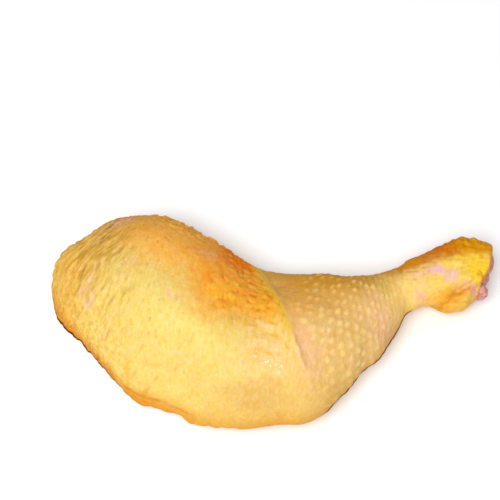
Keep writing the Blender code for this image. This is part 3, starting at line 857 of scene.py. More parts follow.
def make_skin():
    outside, along, is_open, to_hem, pattern = outer_skin()
    rings = np.arange(INNER_FIRST_RING, len(along), COARSER)
    rings[-1] = len(along) - 1
    open_rings = np.flatnonzero(is_open[rings])
    first, last = open_rings[0] - 1, open_rings[-1] + 1
    slit = np.zeros(len(along), bool)
    slit[rings[first] + 1 : rings[last]] = True
    shell = Shell()
    outer = shell.add(outside)
    outer[~slit, -1] = outer[~slit, 0]
    shell.sheet(outer)
    inside = inner_skin(along[rings])[:, ::COARSER]
    inner = shell.add(inside)
    inner[~slit[rings], -1] = inner[~slit[rings], 0]
    shell.sheet(inner, flipped=True)
    tips = shell.add(np.array([outside[0].mean(axis=0), inside[0].mean(axis=0)]))
    shell.fan(outer[0, :-1], tips[0])
    shell.fan(inner[0, :-1], tips[1], flipped=True)
    shell.sew(outer[-1], inner[-1])
    fine = slice(rings[first], rings[last] + 1)
    shell.sew(outer[fine, -1], inner[first : last + 1, -1], flipped=True)
    shell.sew(outer[fine, 0], inner[first : last + 1, 0])
    corners = np.concatenate(shell.corners)
    spare = len(corners) - outside[..., 0].size
    masks = {name: np.pad(values.ravel(), (0, spare)) for name, values in pattern._asdict().items()}
    masks["inside"] = np.pad(smooth_step(1.6, 0.2, to_hem).ravel(), (0, spare), constant_values=1.0)
    return piece_of("leg_skin", corners, shell.faces, masks)


# --- The meat and the gristle -------------------------------------------------------------------

MEAT_RINGS, MEAT_COLUMNS, MEAT_FIRST_TURN = 200, 168, 0.25
MEAT_BULGE_START, MEAT_BULGE_FULL = 0.35, 2.6
FIBRE_DEPTH, FIBRE_STRETCH, MEAT_HOLLOWS = 0.16, 0.22, 0.25

CARTILAGE_GRAIN, CARTILAGE_SMOOTHING = 0.35, 16

# A ball of gristle in the hock's cut: its place, its half sizes and how far it stands out
Ball = namedtuple("Ball", "across up half_width half_height half_length proud")
LOBES = (Ball(4.8, -0.3, 7.8, 9.2, 6.4, 2.6), Ball(-2.8, -1.0, 6.6, 8.8, 6.4, 1.4))
TENDON = Ball(-11.2, -2.6, 3.6, 7.0, 5.0, 2.0)


def muscle_seams(x, y):
    """How deep the seams between the muscles run into the meat from below."""
    along = x - SEAMS_MIDDLE[0]
    across = y - SEAMS_MIDDLE[1] - SEAM_TURN * along
    seams = []
    for at, fan, wide, deep in SEAMS:
        sway = SEAM_SWAY * np.sin(along / SEAM_SWAY_LENGTH + at)
        seams.append(deep * bell(across - at - fan * along - sway, wide))
    return np.max(seams, axis=0)


def inside_window(along, angles, arcs):
    """How far inside the window that the hem leaves each place is, in millimetres round the leg."""
    far, near = hem_angles(along)
    far_arc = np.array([np.interp(a, angles[0], row) for a, row in zip(far, arcs)])[:, None]
    near_arc = np.array([np.interp(a, angles[0], row) for a, row in zip(near, arcs)])[:, None]
    return np.maximum(far_arc - arcs, arcs - near_arc)


def meat_relief(place, bulging):
    """The flesh's forms, and in the window the hem's scallops and the meat's fibres."""
    along_fibres = place._replace(x=place.x * FIBRE_STRETCH, y=place.y - SEAM_TURN * place.x)
    fibres = FIBRE_DEPTH * np.abs(cloudy(along_fibres, 1.4, 5.0))
    bare = hem_scallops(place) - fibres - MEAT_HOLLOWS * (1 - cloudy(place, 6.0))
    return flesh_forms(place) + bulging * bare


def make_meat():
    turns = np.linspace(MEAT_FIRST_TURN, math.pi / 2, HIP_RINGS // 2, endpoint=False)
    inset = SKIN_THICKNESS + MEAT_CLEARANCE
    hip = inset + (HIP_ROUND - inset) * (1 - np.cos(turns))
    on = np.linspace(HIP_ROUND, LEG_LENGTH - MEAT_STOPS_SHORT, MEAT_RINGS)
    along = np.concatenate([hip, on])
    angles = np.linspace(MIDDLE_UNDER - 2 * math.pi, MIDDLE_UNDER, MEAT_COLUMNS + 1)
    angles = np.broadcast_to(angles, (len(along), len(angles)))
    arcs = arc_lengths(section_points(along, angles))
    bulging = smooth_step(MEAT_BULGE_START, MEAT_BULGE_FULL, inside_window(along, angles, arcs))
    points = section_points(along, angles, mouth_inset(along, inset) + (MEAT_BULGE_INSET - inset) * bulging)
    normals = grid_normals(points)
    place = place_of(points, along, normals, arcs, MEAT_COLUMNS // 2)
    points = points + normals * meat_relief(place, bulging)[..., None]
    floor = (inset + UNDERSIDE_FAT) * (1 - bulging)
    points[..., 2] = np.maximum(points[..., 2], floor)
    seams = muscle_seams(points[..., 0], points[..., 1])
    low = smooth_step(SEAMS_FADE, SEAMS_FULL, points[..., 2]) * bulging
    points[..., 2] += SEAM_DEPTH * seams * low
    points = slant_cut(points)
    tips = np.array([points[0].mean(axis=0), points[-1].mean(axis=0)])
    return closed_body("thigh_meat", points[:, :-1], tips, {"seam": (seams * low)[:, :-1]})


def cut_frame():
    """The middle of the hock's cut, the way out of it and the way across it to the far side."""
    end = sections_at(np.array([LEG_LENGTH]))
    far, near = end.far[0], end.near[0]
    across = np.array([*(far - near)[:2], 0])
    across = across / np.linalg.norm(across)
    outward = np.array([across[1], -across[0], 0])
    middle = (far + near) / 2
    middle[2] = (end.top[0] + end.under[0]) / 2
    return middle, outward, across


def ball_points(rows, columns):
    turns = np.linspace(0, math.pi, rows)[:, None]
    round_turns = np.linspace(0, 2 * math.pi, columns, endpoint=False)[None, :]
    x, y = np.sin(turns) * np.cos(round_turns), np.sin(turns) * np.sin(round_turns)
    return np.stack([x, y, np.cos(turns) * np.ones_like(round_turns)], axis=-1)


def gristle_ball(name, ball, relief):
    """A ball stretched along three axes at the cut, with relief along its own radius."""
    middle, outward, across = cut_frame()
    up = np.array([0, 0, 1])
    place = middle + across * ball.across + up * ball.up + outward * (ball.proud - ball.half_length)
    axes = np.array([across * ball.half_width, up * ball.half_height, outward * ball.half_length])
    unit = ball_points(60, 96)
    stretched = unit @ axes
    points = place + stretched
    spot = Place(unit[..., 2], unit[..., 0], *np.moveaxis(points, 2, 0), unit[..., 1], unit[..., 2])
    points = points + stretched / np.linalg.norm(stretched, axis=2, keepdims=True) * relief(spot)[..., None]
    return closed_body(name, points[1:-1], points[[0, -1], 0], {}, flipped=True)


def melted(piece, name, grain, smoothing):
    """The piece's overlapping balls joined into one body with soft saddles between them."""
    remesh = piece.modifiers.new("join", "REMESH")
    remesh.mode = "VOXEL"
    remesh.voxel_size = grain * MM
    smooth = piece.modifiers.new("soften", "SMOOTH")
    smooth.factor = 0.5
    smooth.iterations = smoothing
    evaluated = piece.evaluated_get(bpy.context.evaluated_depsgraph_get())
    mesh = bpy.data.meshes.new_from_object(evaluated)
    mesh.name = name
    mesh.shade_smooth()
    joined = placed(name, mesh)
    bpy.data.objects.remove(piece, do_unlink=True)
    return joined


def cartilage_dimples(spot):
    return 0.12 * cloudy(spot, 3.0, 9.0)


def tendon_strands(spot):
    return 0.3 * cloudy(spot._replace(x=spot.x * 0.25), 1.1, 2.0) - 0.15


def make_cartilage():
    lobes = [gristle_ball("lobe", ball, cartilage_dimples) for ball in LOBES]
    with bpy.context.temp_override(active_object=lobes[0], selected_editable_objects=lobes):
        bpy.ops.object.join()
    return melted(lobes[0], "knuckle_cartilage", CARTILAGE_GRAIN, CARTILAGE_SMOOTHING)


def make_tendon():
    return gristle_ball("cut_tendon", TENDON, tendon_strands)


# --- How finishes are written -------------------------------------------------------------------


class Term:
    """A number on a material's socket. Sums and products of such numbers add Math nodes.

    A product with 1 is the number itself.
    """

    def __init__(self, finish, socket):
        self.finish = finish
        self.socket = socket

    def __add__(self, other):
        return self.finish.math("ADD", self, other)

    def __sub__(self, other):
        return self.finish.math("SUBTRACT", self, other)

    def __rsub__(self, other):
        return self.finish.math("SUBTRACT", other, self)

    def __mul__(self, other):
        unchanged = isinstance(other, float) and other == 1.0
        return self if unchanged else self.finish.math("MULTIPLY", self, other)

    __radd__ = __add__
    __rmul__ = __mul__


class Finish:
    """One material, whose nodes are added by expressions."""

    def __init__(self, name):
        self.material = bpy.data.materials.new(name)
        self.material.use_nodes = True
        self.tree = self.material.node_tree
        self.surface = self.tree.nodes["Principled BSDF"]

    def node(self, kind, settings, inputs, output=0):
        """Adds a node: first its settings, then the values or links of its sockets."""
        node = self.tree.nodes.new(kind)
        for setting, value in settings.items():
            setattr(node, setting, value)
        for socket, value in inputs.items():
            self.feed(node.inputs[socket], value)
        if isinstance(output, tuple):
            return [Term(self, node.outputs[which]) for which in output]
        return Term(self, node.outputs[output])

    def feed(self, socket, value):
        if isinstance(value, Term):
            self.tree.links.new(value.socket, socket)
        elif socket.type == "RGBA":
            socket.default_value = (*value, 1)
        else:
            socket.default_value = value

    def math(self, operation, *terms):
        return self.node("ShaderNodeMath", {"operation": operation}, dict(enumerate(terms)))

    def vector(self, operation, *terms, output=0):
        return self.node("ShaderNodeVectorMath", {"operation": operation}, dict(enumerate(terms)), output)

    def mix(self, share, first, second, way="MIX"):
        """The first colour where the share is 0, the second where it is 1."""
        settings = {"data_type": "RGBA", "blend_type": way, "clamp_factor": True}
        return self.node("ShaderNodeMix", settings, {0: share, 6: first, 7: second}, 2)

    def tint(self, share, colour, by):
        """The colour multiplied by another as far as the share goes."""
        return self.mix(share, colour, by, "MULTIPLY")

    def smooth(self, low, high, value):
        settings = {"interpolation_type": "SMOOTHSTEP"}
        return self.node("ShaderNodeMapRange", settings, {0: value, 1: low, 2: high, 3: 0.0, 4: 1.0})

    def noise(self, at, size, detail=2.0, output="Fac"):
        """Soft noise with lumps of this size in millimetres."""
        inputs = {"Vector": at, "Scale": 1 / size, "Detail": detail, "Roughness": 0.5}
        return self.node("ShaderNodeTexNoise", {}, inputs, output)

    def stretched(self, at, across, along, turn=0.0):
        """Coordinates for noise that is drawn out along a line, given its turn from y."""
        inputs = {"Vector": at, "Rotation": (0, 0, turn), "Scale": (across, along, across)}
        return self.node("ShaderNodeMapping", {"vector_type": "TEXTURE"}, inputs)

    def mask(self, name):
        """A value that the mesh carries at its corners."""
        return self.node("ShaderNodeAttribute", {"attribute_name": name}, {}, "Fac")

    def place(self):
        """Where a point is, in millimetres from the middle of the leg's length."""
        at = self.node("ShaderNodeTexCoord", {}, {}, "Object")
        return self.vector("MULTIPLY_ADD", at, (1 / MM,) * 3, tuple(FOOTPRINT_MIDDLE))

    def astray(self, at, size, reach):
        """The same place led astray by noise, so that the edge of an area wanders."""
        noise = self.vector("SUBTRACT", self.noise(at, size, 2.0, "Color"), (0.5,) * 3)
        return self.vector("MULTIPLY_ADD", noise, (reach,) * 3, at)

    def area(self, at, place, radii, turn=0.0, soft=0.6):
        """An oval area as seen from above: 1 inside, 0 outside, with a soft edge."""
        inputs = {"Vector": at, "Location": (*place, 0), "Rotation": (0, 0, turn), "Scale": (*radii, 1e5)}
        spot = self.node("ShaderNodeMapping", {"vector_type": "TEXTURE"}, inputs)
        distance = self.vector("LENGTH", spot, output="Value")
        return self.smooth(1 + soft, 1 - soft, distance)

    def blots(self, low, high, at, size, detail=2.0):
        """Noise made into soft blots: 0 up to the low value and 1 from the high one on."""
        return self.smooth(low, high, self.noise(at, size, detail))

    def fine_bump(self, height, depth):
        """Gives the surface relief that is too small for the mesh; its depth is in millimetres."""
        inputs = {"Height": height, "Distance": depth * MM, "Strength": 1.0}
        self.feed(self.surface.inputs["Normal"], self.node("ShaderNodeBump", {}, inputs))

    def set(self, **sockets):
        for name, value in sockets.items():
            self.feed(self.surface.inputs[name.replace("_", " ")], value)

    def flesh(self, colour, roughness, wet, radius, scale, share=0.2, wet_roughness=0.15):
        """Moist flesh: how wet it is, and how far and how much the light scatters in it."""
        self.set(Base_Color=colour, Roughness=roughness, Coat_Weight=wet, Coat_Roughness=wet_roughness)
        self.set(Subsurface_Weight=share, Subsurface_Radius=radius, Subsurface_Scale=scale)


# --- The finishes -------------------------------------------------------------------------------

# Skin colours, as linear albedo
PALE_YELLOW = (0.740, 0.525, 0.140)
BRIGHT_YELLOW = (0.750, 0.600, 0.175)
WARM_YELLOW = (0.745, 0.490, 0.135)
END_YELLOW = (0.660, 0.385, 0.068)
OLIVE_YELLOW = (0.700, 0.390, 0.072)
OLIVE = (0.440, 0.280, 0.055)
TAN = (0.700, 0.280, 0.030)
DULL_TAN = (0.600, 0.330, 0.068)
PEACH = (0.830, 0.380, 0.060)
HEM_ORANGE = (0.640, 0.270, 0.025)
KNEE_CREAM = (0.780, 0.540, 0.200)
KNEE_SHADE = (0.640, 0.385, 0.105)
ORANGE = (0.800, 0.300, 0.024)
DEEP_ORANGE = (0.800, 0.205, 0.000)
GOLD = (0.840, 0.420, 0.035)
LIP_YELLOW = (0.740, 0.450, 0.040)
SOFT_ORANGE = (0.800, 0.375, 0.052)
BEIGE = (0.740, 0.495, 0.190)
BROWN_OLIVE = (0.585, 0.290, 0.022)
DRUM_TAN = (0.680, 0.360, 0.080)
ANKLE_BEIGE = (0.900, 0.630, 0.250)
# The papillae's yellow, with painted highlight on their tops
PAPILLA_YELLOW_AND_HIGHLIGHT = (0.830, 0.560, 0.185)
PINK = (0.820, 0.450, 0.330)
LAVENDER = (0.760, 0.430, 0.520)
ANKLE_OCHRE = (0.600, 0.240, 0.008)
ANKLE_YELLOW = (0.960, 0.700, 0.230)
HOCK_BEIGE = (0.780, 0.540, 0.120)
HOCK_YELLOW = (0.820, 0.530, 0.035)
HOCK_ORANGE = (0.700, 0.300, 0.002)
HOCK_BROWN = (0.550, 0.135, 0.000)
# Painted shade low on the hock's near side, below the crease
OCHRE_UNDERSIDE_SHADE = (0.700, 0.320, 0.026)
LOBE_BEIGE = (0.740, 0.360, 0.050)
# Painted shade in the hock's creases
CREASE_SHADE_ORANGE = (0.560, 0.190, 0.006)
CUT_PINK = (0.720, 0.330, 0.280)
FAT = (0.720, 0.500, 0.230)
FAR_ORANGE = (0.900, 0.440, 0.072)
FLUSHED_YELLOW = (0.820, 0.385, 0.028)
# Painted highlight on the knee's ridges and the lit lips of the long creases
WRINKLE_HIGHLIGHT_CREAM = (0.900, 0.650, 0.340)
# Painted white glints on the wet knee
GLINT_WHITE = (0.950, 0.830, 0.760)
# Painted golden shade in the knee's troughs
TROUGH_SHADE_GOLD = (0.800, 0.380, 0.025)
# Pale pink of the fold's raised line, lighter as painted highlight
TAIL_PINK_HIGHLIGHT = (0.880, 0.620, 0.450)
# Painted shadow: the dark red line along the near edge, where the leg turns under
PAINTED_SHADOW_RED = (0.110, 0.018, 0.012)
RIM_RED = (0.660, 0.190, 0.025)

# Multipliers of the skin's colours: painted shade between papillae, in sunk relief, by the near edge; flecks
PAPILLA_VALLEY_SHADE = (0.92, 0.86, 0.77)
FLECK_LIGHT = (1.14, 1.20, 1.35)
STREAK_SHADE = (0.72, 0.62, 0.40)
COBBLE_SHADE = (0.88, 0.76, 0.55)
CRACK_SHADE = (0.72, 0.52, 0.32)
SCALE_SHADE = (0.74, 0.60, 0.40)
GROOVE_SHADE = (0.80, 0.66, 0.46)
BORDER_SHADE = (0.96, 0.86, 0.56)

# Meat and gristle colours
MEAT_DARK, MEAT_RED = (0.400, 0.085, 0.075), (0.520, 0.170, 0.130)
FIBRE_PINK, MARBLING = (0.620, 0.260, 0.210), (0.780, 0.520, 0.340)
SEAM_DARK, SEAM_FAT = (0.300, 0.055, 0.050), (0.740, 0.480, 0.310)
CARTILAGE_PINK, CARTILAGE_RED = (0.680, 0.250, 0.190), (0.540, 0.150, 0.110)
TENDON_PINK, TENDON_RED = (0.700, 0.340, 0.290), (0.520, 0.170, 0.140)
VESSEL_RED, LOW_DARK_RED, CUT_RED = (0.500, 0.130, 0.120), (0.220, 0.035, 0.025), (0.300, 0.040, 0.035)
MEAT_GRAIN_TURN = 1.17

# Depths of the finishes' own relief, how much the dull skin mirrors, and how rough the gristle is
SKIN_BUMP, MEAT_BUMP, GRISTLE_BUMP = 0.22, 0.30, 0.10
SKIN_IOR, CARTILAGE_ROUGHNESS, TENDON_ROUGHNESS = 1.14, 0.35, 0.3


# A soft area of another colour, seen from above
Patch = namedtuple("Patch", "colour at radii turn strength soft", defaults=(0.0, 1.0, 0.75))

THIGH_PATCHES = (
    Patch(END_YELLOW, (-108, 24), (15, 30), -0.25, 0.9),
    Patch(OLIVE_YELLOW, (-88, 50), (26, 13), 0.6, 0.85),
    Patch(TAN, (-60, 65), (36, 10), -0.2, 0.9),
    Patch(FAR_ORANGE, (-36, 50), (28, 12), -0.45, 0.6),
    Patch(DULL_TAN, (-74, 57), (24, 11), -0.1, 0.7),
    Patch(PEACH, (-54, 43), (20, 17), -0.4, 0.85),
    Patch(BRIGHT_YELLOW, (-46, -12), (30, 17), -0.75, 0.95),
    Patch(WARM_YELLOW, (-45, -30), (30, 10), -0.5, 0.6),
    Patch(FLUSHED_YELLOW, (-74.5, -26), (1.6, 5.0), 0.0, 0.5),
    Patch(KNEE_CREAM, (-5, -24), (17, 15), 0.0, 0.9),
    Patch(KNEE_SHADE, (-4, -42), (24, 8), 0.0, 0.8),
)
FLUSHED_PATCHES = (
    Patch(FLUSHED_YELLOW, (0, 2), (14, 12), 0.0, 0.9, 0.6),
    Patch(GOLD, (-27, 11), (9, 8), 0.0, 0.8, 0.6),
    Patch(DEEP_ORANGE, (-16, 39), (14, 9), -0.6, 1.0, 0.6),
    Patch(GOLD, (-7, 23), (4.5, 12), 0.3, 0.7, 0.6),
)
THIGH_SPOTS = (
    Patch(PINK, (-52, 9), (4.4, 2.2), -0.5, 0.8),
    Patch(PINK, (-98, 17), (1.8, 3.4), -0.4, 0.8),
    Patch(PINK, (-95, 10), (1.8, 3.2), -0.3, 0.7),
    Patch(LAVENDER, (-93, 12), (1.6, 4.2), -0.35, 0.8),
    Patch(PINK, (-84, -5), (1.6, 2.8), 0.0, 0.8),
    Patch(PINK, (-75, 29), (4, 3), 0.0, 0.5),
    Patch(PINK, (-34, 36), (7, 4), -0.3, 0.35),
    Patch(PINK, (-94, 22), (1.6, 4), -0.35, 0.6),
    Patch(LAVENDER, (-80.5, 59), (6, 2.2), 0.5, 0.8),
    Patch(OLIVE, (-88.5, 51.5), (9, 2.2), 1.2, 0.6),
    Patch(OLIVE, (-95, 42.7), (6, 1.6), 0.55, 0.5),
)
DRUMSTICK_PATCHES = (
    Patch(BROWN_OLIVE, (28, 29), (42, 15), -0.05, 0.95),
    Patch(BROWN_OLIVE, (14, 15), (14, 11), 0.0, 0.55),
    Patch(WARM_YELLOW, (14, -38), (24, 10), 0.15, 0.55),
    Patch(DRUM_TAN, (26, 7), (16, 8), 0.1, 0.55),
    Patch(ANKLE_BEIGE, (56, 8), (8, 8), 0.0, 0.6),
    Patch(PINK, (13, -20), (6, 13), 0.2, 0.4),
    Patch(PINK, (54, 0), (9, 12), 0.3, 0.35),
    Patch(ANKLE_YELLOW, (69, 19), (14, 11), 0.0, 0.8),
    Patch(ANKLE_OCHRE, (73, 40.5), (19, 5.5), 0.38, 1.0, 0.45),
    Patch(DRUM_TAN, (9, 10), (8, 15), 0.0, 0.5),
)
HOCK_PATCHES = (
    Patch(HOCK_BROWN, (93, 49), (28, 10), 0.16, 1.0, 0.45),
    Patch(HOCK_BROWN, (77, 39), (9, 5.0), 0.3, 0.7),
    Patch(HOCK_ORANGE, (106, 47), (13, 9), 0.0, 1.0),
    Patch(HOCK_YELLOW, (105.5, 31.5), (6.5, 7), 0.2, 1.0, 0.5),
    Patch(HOCK_YELLOW, (100, 37), (7, 2.6), 0.2, 0.6),
    # Painted shade low on the near side, below the crease
    Patch(OCHRE_UNDERSIDE_SHADE, (86, 16), (13, 4.8), 0.3, 0.9),
    Patch(LOBE_BEIGE, (98, 15.5), (10, 3.2), 0.3, 0.4),
)
# Painted shade along the crease over the hock's near lobe
HOCK_CREASE_SHADE = (Patch(CREASE_SHADE_ORANGE, (93, 18.9), (12, 1.1), 0.44, 0.7, 0.95),)
HOCK_SPOTS = (
    Patch(CREASE_SHADE_ORANGE, (106.6, 28.6), (3.0, 0.8), -0.78, 0.7),
    Patch(PINK, (75, 27.5), (2.4, 3.0), 0.3, 0.7),
    Patch(PINK, (75, 20.5), (2.6, 3.6), -0.2, 0.8),
    Patch(LAVENDER, (83.5, 31), (4.8, 2.4), -0.15, 0.85),
    Patch(LAVENDER, (88, 29), (4.4, 2.2), -0.3, 0.6),
    Patch(LAVENDER, (91.5, 28), (2.6, 2.4), 0.0, 0.7),
    Patch(PINK, (96, 23), (4.0, 1.4), 0.3, 0.5),
    Patch(CUT_PINK, (103, 21.5), (2.4, 2.2), 0.0, 0.9),
)

# Where the crumpled skin over the kneecap glistens, with painted white glints: its middle and radii
WET_GLINT_SPOTS = (
    ((-1.5, -17.6), (3.2, 1.8)),
    ((-4.0, -24.5), (3.6, 2.4)),
    ((-9.6, -20.9), (2.4, 1.6)),
    ((1.2, -27.5), (1.4, 2.6)),
)

# Mottling all over: the size of its lumps, where it starts and is full, its strength and tint
MOTTLING = (
    (9.0, 0.45, 0.7, 0.8, (0.99, 0.93, 0.82)),
    (6.5, 0.55, 0.3, 0.7, (1.02, 1.05, 1.02)),
    (4.0, 0.50, 0.72, 0.8, (0.98, 0.91, 1.06)),
    (2.6, 0.52, 0.74, 0.8, (0.97, 0.90, 0.72)),
    (1.5, 0.55, 0.75, 0.5, (1.05, 1.05, 1.05)),
)

# Where the skin changes, by x or y: how far the near skin takes the thigh's hem colour, where the fold
# runs out on its near side and blurs on its far side, and where the drumstick's skin becomes the hock's
HEM_COLOURED, FOLD_MERGES, FOLD_BLURS, HOCK_SKIN = (-20, -75), (-19, -34), (8, 26), (75, 92)
HIP_STROKED, FAR_CORNER = (-60, -92), ((-93, 46), (17, 17))


# Drawn-out noise that tints the skin one way where it is high and another where it is low. For both
# it says where the tint starts, where it is full, how strong it is, and its colour
Strokes = namedtuple("Strokes", "length turn size high low detail width", defaults=(2.0, 1.0))

SKIN_STROKES = Strokes(
    4.0, -0.15, 1.5, (0.52, 0.68, 1.0, (1.04, 1.07, 1.3)), (0.48, 0.34, 1.0, (0.98, 0.95, 0.76))
)
HIP_STROKES = Strokes(
    5.0, -0.52, 2.0, (0.5, 0.62, 0.8, (0.84, 0.77, 0.60)), (0.46, 0.32, 1.0, (1.06, 1.11, 1.2))
)
CORNER_STROKES = Strokes(
    6.0, -0.78, 2.0, (0.48, 0.62, 1.0, (0.76, 0.72, 0.58)), (0.44, 0.32, 1.0, (1.08, 1.13, 1.2))
)
WAXY_STROKES = Strokes(
    1.0, 0.0, 1.6, (0.5, 0.7, 0.7, (0.84, 0.74, 0.55)), (0.48, 0.32, 0.7, (1.1, 1.16, 1.0)), 3.0, 3.0
)


# Where a point of the skin is, as it is and led astray by noise, and what the mesh says there
Spot = namedtuple("Spot", "at drifted loose strayed x y on")


def painted(finish, colour, at, patches, cover=1.0):
    """The colour with soft areas laid over it, in the order of the patches."""
    for patch in patches:
        share = finish.area(at, patch.at, patch.radii, patch.turn, patch.soft) * patch.strength * cover
        colour = finish.mix(share, colour, patch.colour)
    return colour


def stroked(finish, colour, at, strokes, cover=1.0):
    stretched = finish.stretched(at, strokes.width, strokes.length, strokes.turn)
    noise = finish.noise(stretched, strokes.size, strokes.detail)
    for start, full, strength, tint in (strokes.high, strokes.low):
        share = finish.smooth(start, full, noise) * cover * strength
        colour = finish.tint(share, colour, tint)
    return colour


def skin_spot(finish):
    at = finish.place()
    drifted, loose, strayed = (finish.astray(at, *noise) for noise in ((9.0, 13.0), (5.0, 8.0), (3.0, 5.0)))
    x, y = finish.node("ShaderNodeSeparateXYZ", {}, {0: at}, (0, 1))
    return Spot(at, drifted, loose, strayed, x, y, Pattern(*(finish.mask(name) for name in Pattern._fields)))


def thigh_colour(finish, spot):
    """Yellow skin, orange behind the knee, darker towards the hem, with a few pink and olive marks."""
    thigh = painted(finish, PALE_YELLOW, spot.drifted, THIGH_PATCHES)
    blotches = finish.blots(0.3, 0.7, spot.at, 4.0, 3.0)
    flushed = finish.mix(blotches, SOFT_ORANGE, ORANGE)
    flushed = painted(finish, flushed, spot.drifted, FLUSHED_PATCHES)
    thigh = finish.mix(spot.on.orange, thigh, flushed)
    thigh = painted(finish, thigh, spot.strayed, THIGH_SPOTS, finish.blots(0.34, 0.62, spot.at, 2.6, 1.0))
    hem = 0.5 + finish.smooth(*HEM_COLOURED, spot.x) * 0.45
    return finish.mix(spot.on.border * hem, thigh, HEM_ORANGE)


def drumstick_colour(finish, spot):
    """Beige skin with yellow papillae and painted shade between them, brown-olive far side, yellow ankle."""
    drumstick = painted(finish, BEIGE, spot.drifted, DRUMSTICK_PATCHES)
    # Painted shade between the papillae
    shade_between_papillae = finish.smooth(0.5, 0.0, spot.on.papilla)
    drumstick = finish.tint(shade_between_papillae * 0.8, drumstick, PAPILLA_VALLEY_SHADE)
    # The papillae's own yellow, lighter on their tops and on the pleats as painted highlight
    drumstick = finish.mix(finish.smooth(0.1, 0.9, spot.on.papilla) * 0.7, drumstick, PAPILLA_YELLOW_AND_HIGHLIGHT)
    return finish.mix(spot.on.pleat * 0.3, drumstick, PAPILLA_YELLOW_AND_HIGHLIGHT)


def hock_colour(finish, spot):
    """Waxy yellow skin, orange-brown over the far side, and painted shade in the crease over the near lobe.
    """
    hock = painted(finish, HOCK_BEIGE, spot.loose, HOCK_PATCHES)
    hock = stroked(finish, hock, spot.at, WAXY_STROKES)
    return painted(finish, hock, spot.strayed, HOCK_CREASE_SHADE)


def shank_colour(finish, spot):
    """The drumstick's and the hock's skin as one, with the pink marks over where they meet."""
    at_hock = spot.x + finish.noise(spot.at, 4.0, 2.0) * 8.0
    drumstick, hock = drumstick_colour(finish, spot), hock_colour(finish, spot)
    shank = finish.mix(finish.smooth(*HOCK_SKIN, at_hock), drumstick, hock)
    blotted = finish.blots(0.3, 0.52, spot.at, 4.0, 1.0)
    return painted(finish, shank, spot.loose, HOCK_SPOTS, blotted)


def folded(finish, spot, thigh, shank):
    """The thigh's skin up to the fold, with its yellow lip, and the shank's beyond it."""
    past = spot.x - (FOLD_AT + spot.y * FOLD_LEAN + spot.y * spot.y * FOLD_BEND)
    merging = finish.smooth(*FOLD_MERGES, spot.y)
    blurred = finish.smooth(*FOLD_BLURS, spot.y)
    share = finish.smooth(-0.9, 1.3, past) * (1 - merging - blurred)
    share = share + finish.smooth(-15, 9, past) * merging + finish.smooth(-1.4, 3.4, past) * blurred
    colour = finish.mix(share, thigh, shank)
    lip = finish.smooth(-4.0, -1.0, past) * finish.smooth(1.8, 0.4, past) * finish.smooth(-18, -6, spot.y)
    return finish.mix(lip * 0.65, colour, LIP_YELLOW)


def mottled(finish, spot, colour):
    """The colour with its strokes, flecks and mottling."""
    colour = stroked(finish, colour, spot.at, SKIN_STROKES)
    colour = stroked(finish, colour, spot.at, HIP_STROKES, finish.smooth(*HIP_STROKED, spot.x))
    colour = stroked(finish, colour, spot.at, CORNER_STROKES, finish.area(spot.drifted, *FAR_CORNER))
    flecks = finish.blots(0.62, 0.7, spot.at, 0.9, 1.0)
    flecks = flecks * finish.smooth(6, 24, spot.y) * finish.smooth(-25, -45, spot.x)
    colour = finish.tint(flecks * 0.8, colour, FLECK_LIGHT)
    for size, first, second, strength, tint in MOTTLING:
        share = finish.blots(first, second, spot.at, size, 3.0) * strength
        colour = finish.tint(share, colour, tint)
    return colour


def shaded(finish, spot, colour):
    """The colour with painted shade where the relief sinks and painted highlight where some of it rises."""
    on = spot.on
    valley = on.orange * finish.smooth(0.4, 0.0, on.cobble)
    valley = valley * finish.smooth(COBBLES_START, COBBLES_FULL, spot.x)
    colour = finish.tint(on.streak * 0.65, colour, STREAK_SHADE)
    colour = finish.tint(valley * 0.35, colour, COBBLE_SHADE)
    colour = finish.tint(on.crack * 0.8, colour, CRACK_SHADE)
    colour = finish.tint(on.scale * 0.6, colour, SCALE_SHADE)
    # Painted golden shade in the knee's troughs, and painted highlight on its ridges and the lit lips
    colour = finish.mix(on.trough * 0.8, colour, TROUGH_SHADE_GOLD)
    colour = finish.mix(on.wrinkle * 0.45, colour, WRINKLE_HIGHLIGHT_CREAM)
    # The fold's raised line: pale pink, partly painted highlight
    return finish.mix(on.tail * 0.6, colour, TAIL_PINK_HIGHLIGHT)


def edged(finish, spot, colour):
    """The colour with painted shade in grooves and by the border, the skin's cut edges, a painted shadow
    line.
    """
    on = spot.on
    colour = finish.tint(on.groove * 0.8, colour, GROOVE_SHADE)
    # Painted shade along the near border, where the side turns under
    colour = finish.tint(on.border * 0.9, colour, BORDER_SHADE)
    colour = finish.mix(finish.mask("inside"), colour, FAT)
    colour = finish.mix(on.rim * 0.8, colour, RIM_RED)
    # A painted dark red shadow line along the near edge, where the leg turns under
    return finish.mix(finish.smooth(0.15, 0.6, on.bead), colour, PAINTED_SHADOW_RED)


def skin_finish():
    """Moist yellow poultry skin, orange and cobbled behind the knee, waxy yellow at the hock."""
    finish = Finish("chicken_skin")
    spot = skin_spot(finish)
    colour = folded(finish, spot, thigh_colour(finish, spot), shank_colour(finish, spot))
    colour = shaded(finish, spot, mottled(finish, spot, colour))
    wet = sum(finish.area(spot.at, *wet_spot) for wet_spot in WET_GLINT_SPOTS)
    # Small wet drops over the kneecap: a clear coat and bump, and painted white glints in the colour
    wet_glint_drops = finish.blots(0.58, 0.66, spot.at, 1.2, 1.0) * wet
    colour = edged(finish, spot, finish.mix(wet_glint_drops * 0.7, colour, GLINT_WHITE))
    grain = finish.noise(spot.at, 0.8, 3.0)
    finish.flesh(colour, 0.58 + grain * 0.16, wet_glint_drops, (1.0, 0.5, 0.2), 0.0014, 0.1, 0.16)
    finish.set(IOR=SKIN_IOR)
    finish.fine_bump(grain + finish.noise(spot.at, 2.2, 3.0) * 1.5 + wet_glint_drops * 0.3, SKIN_BUMP)
    return finish.material


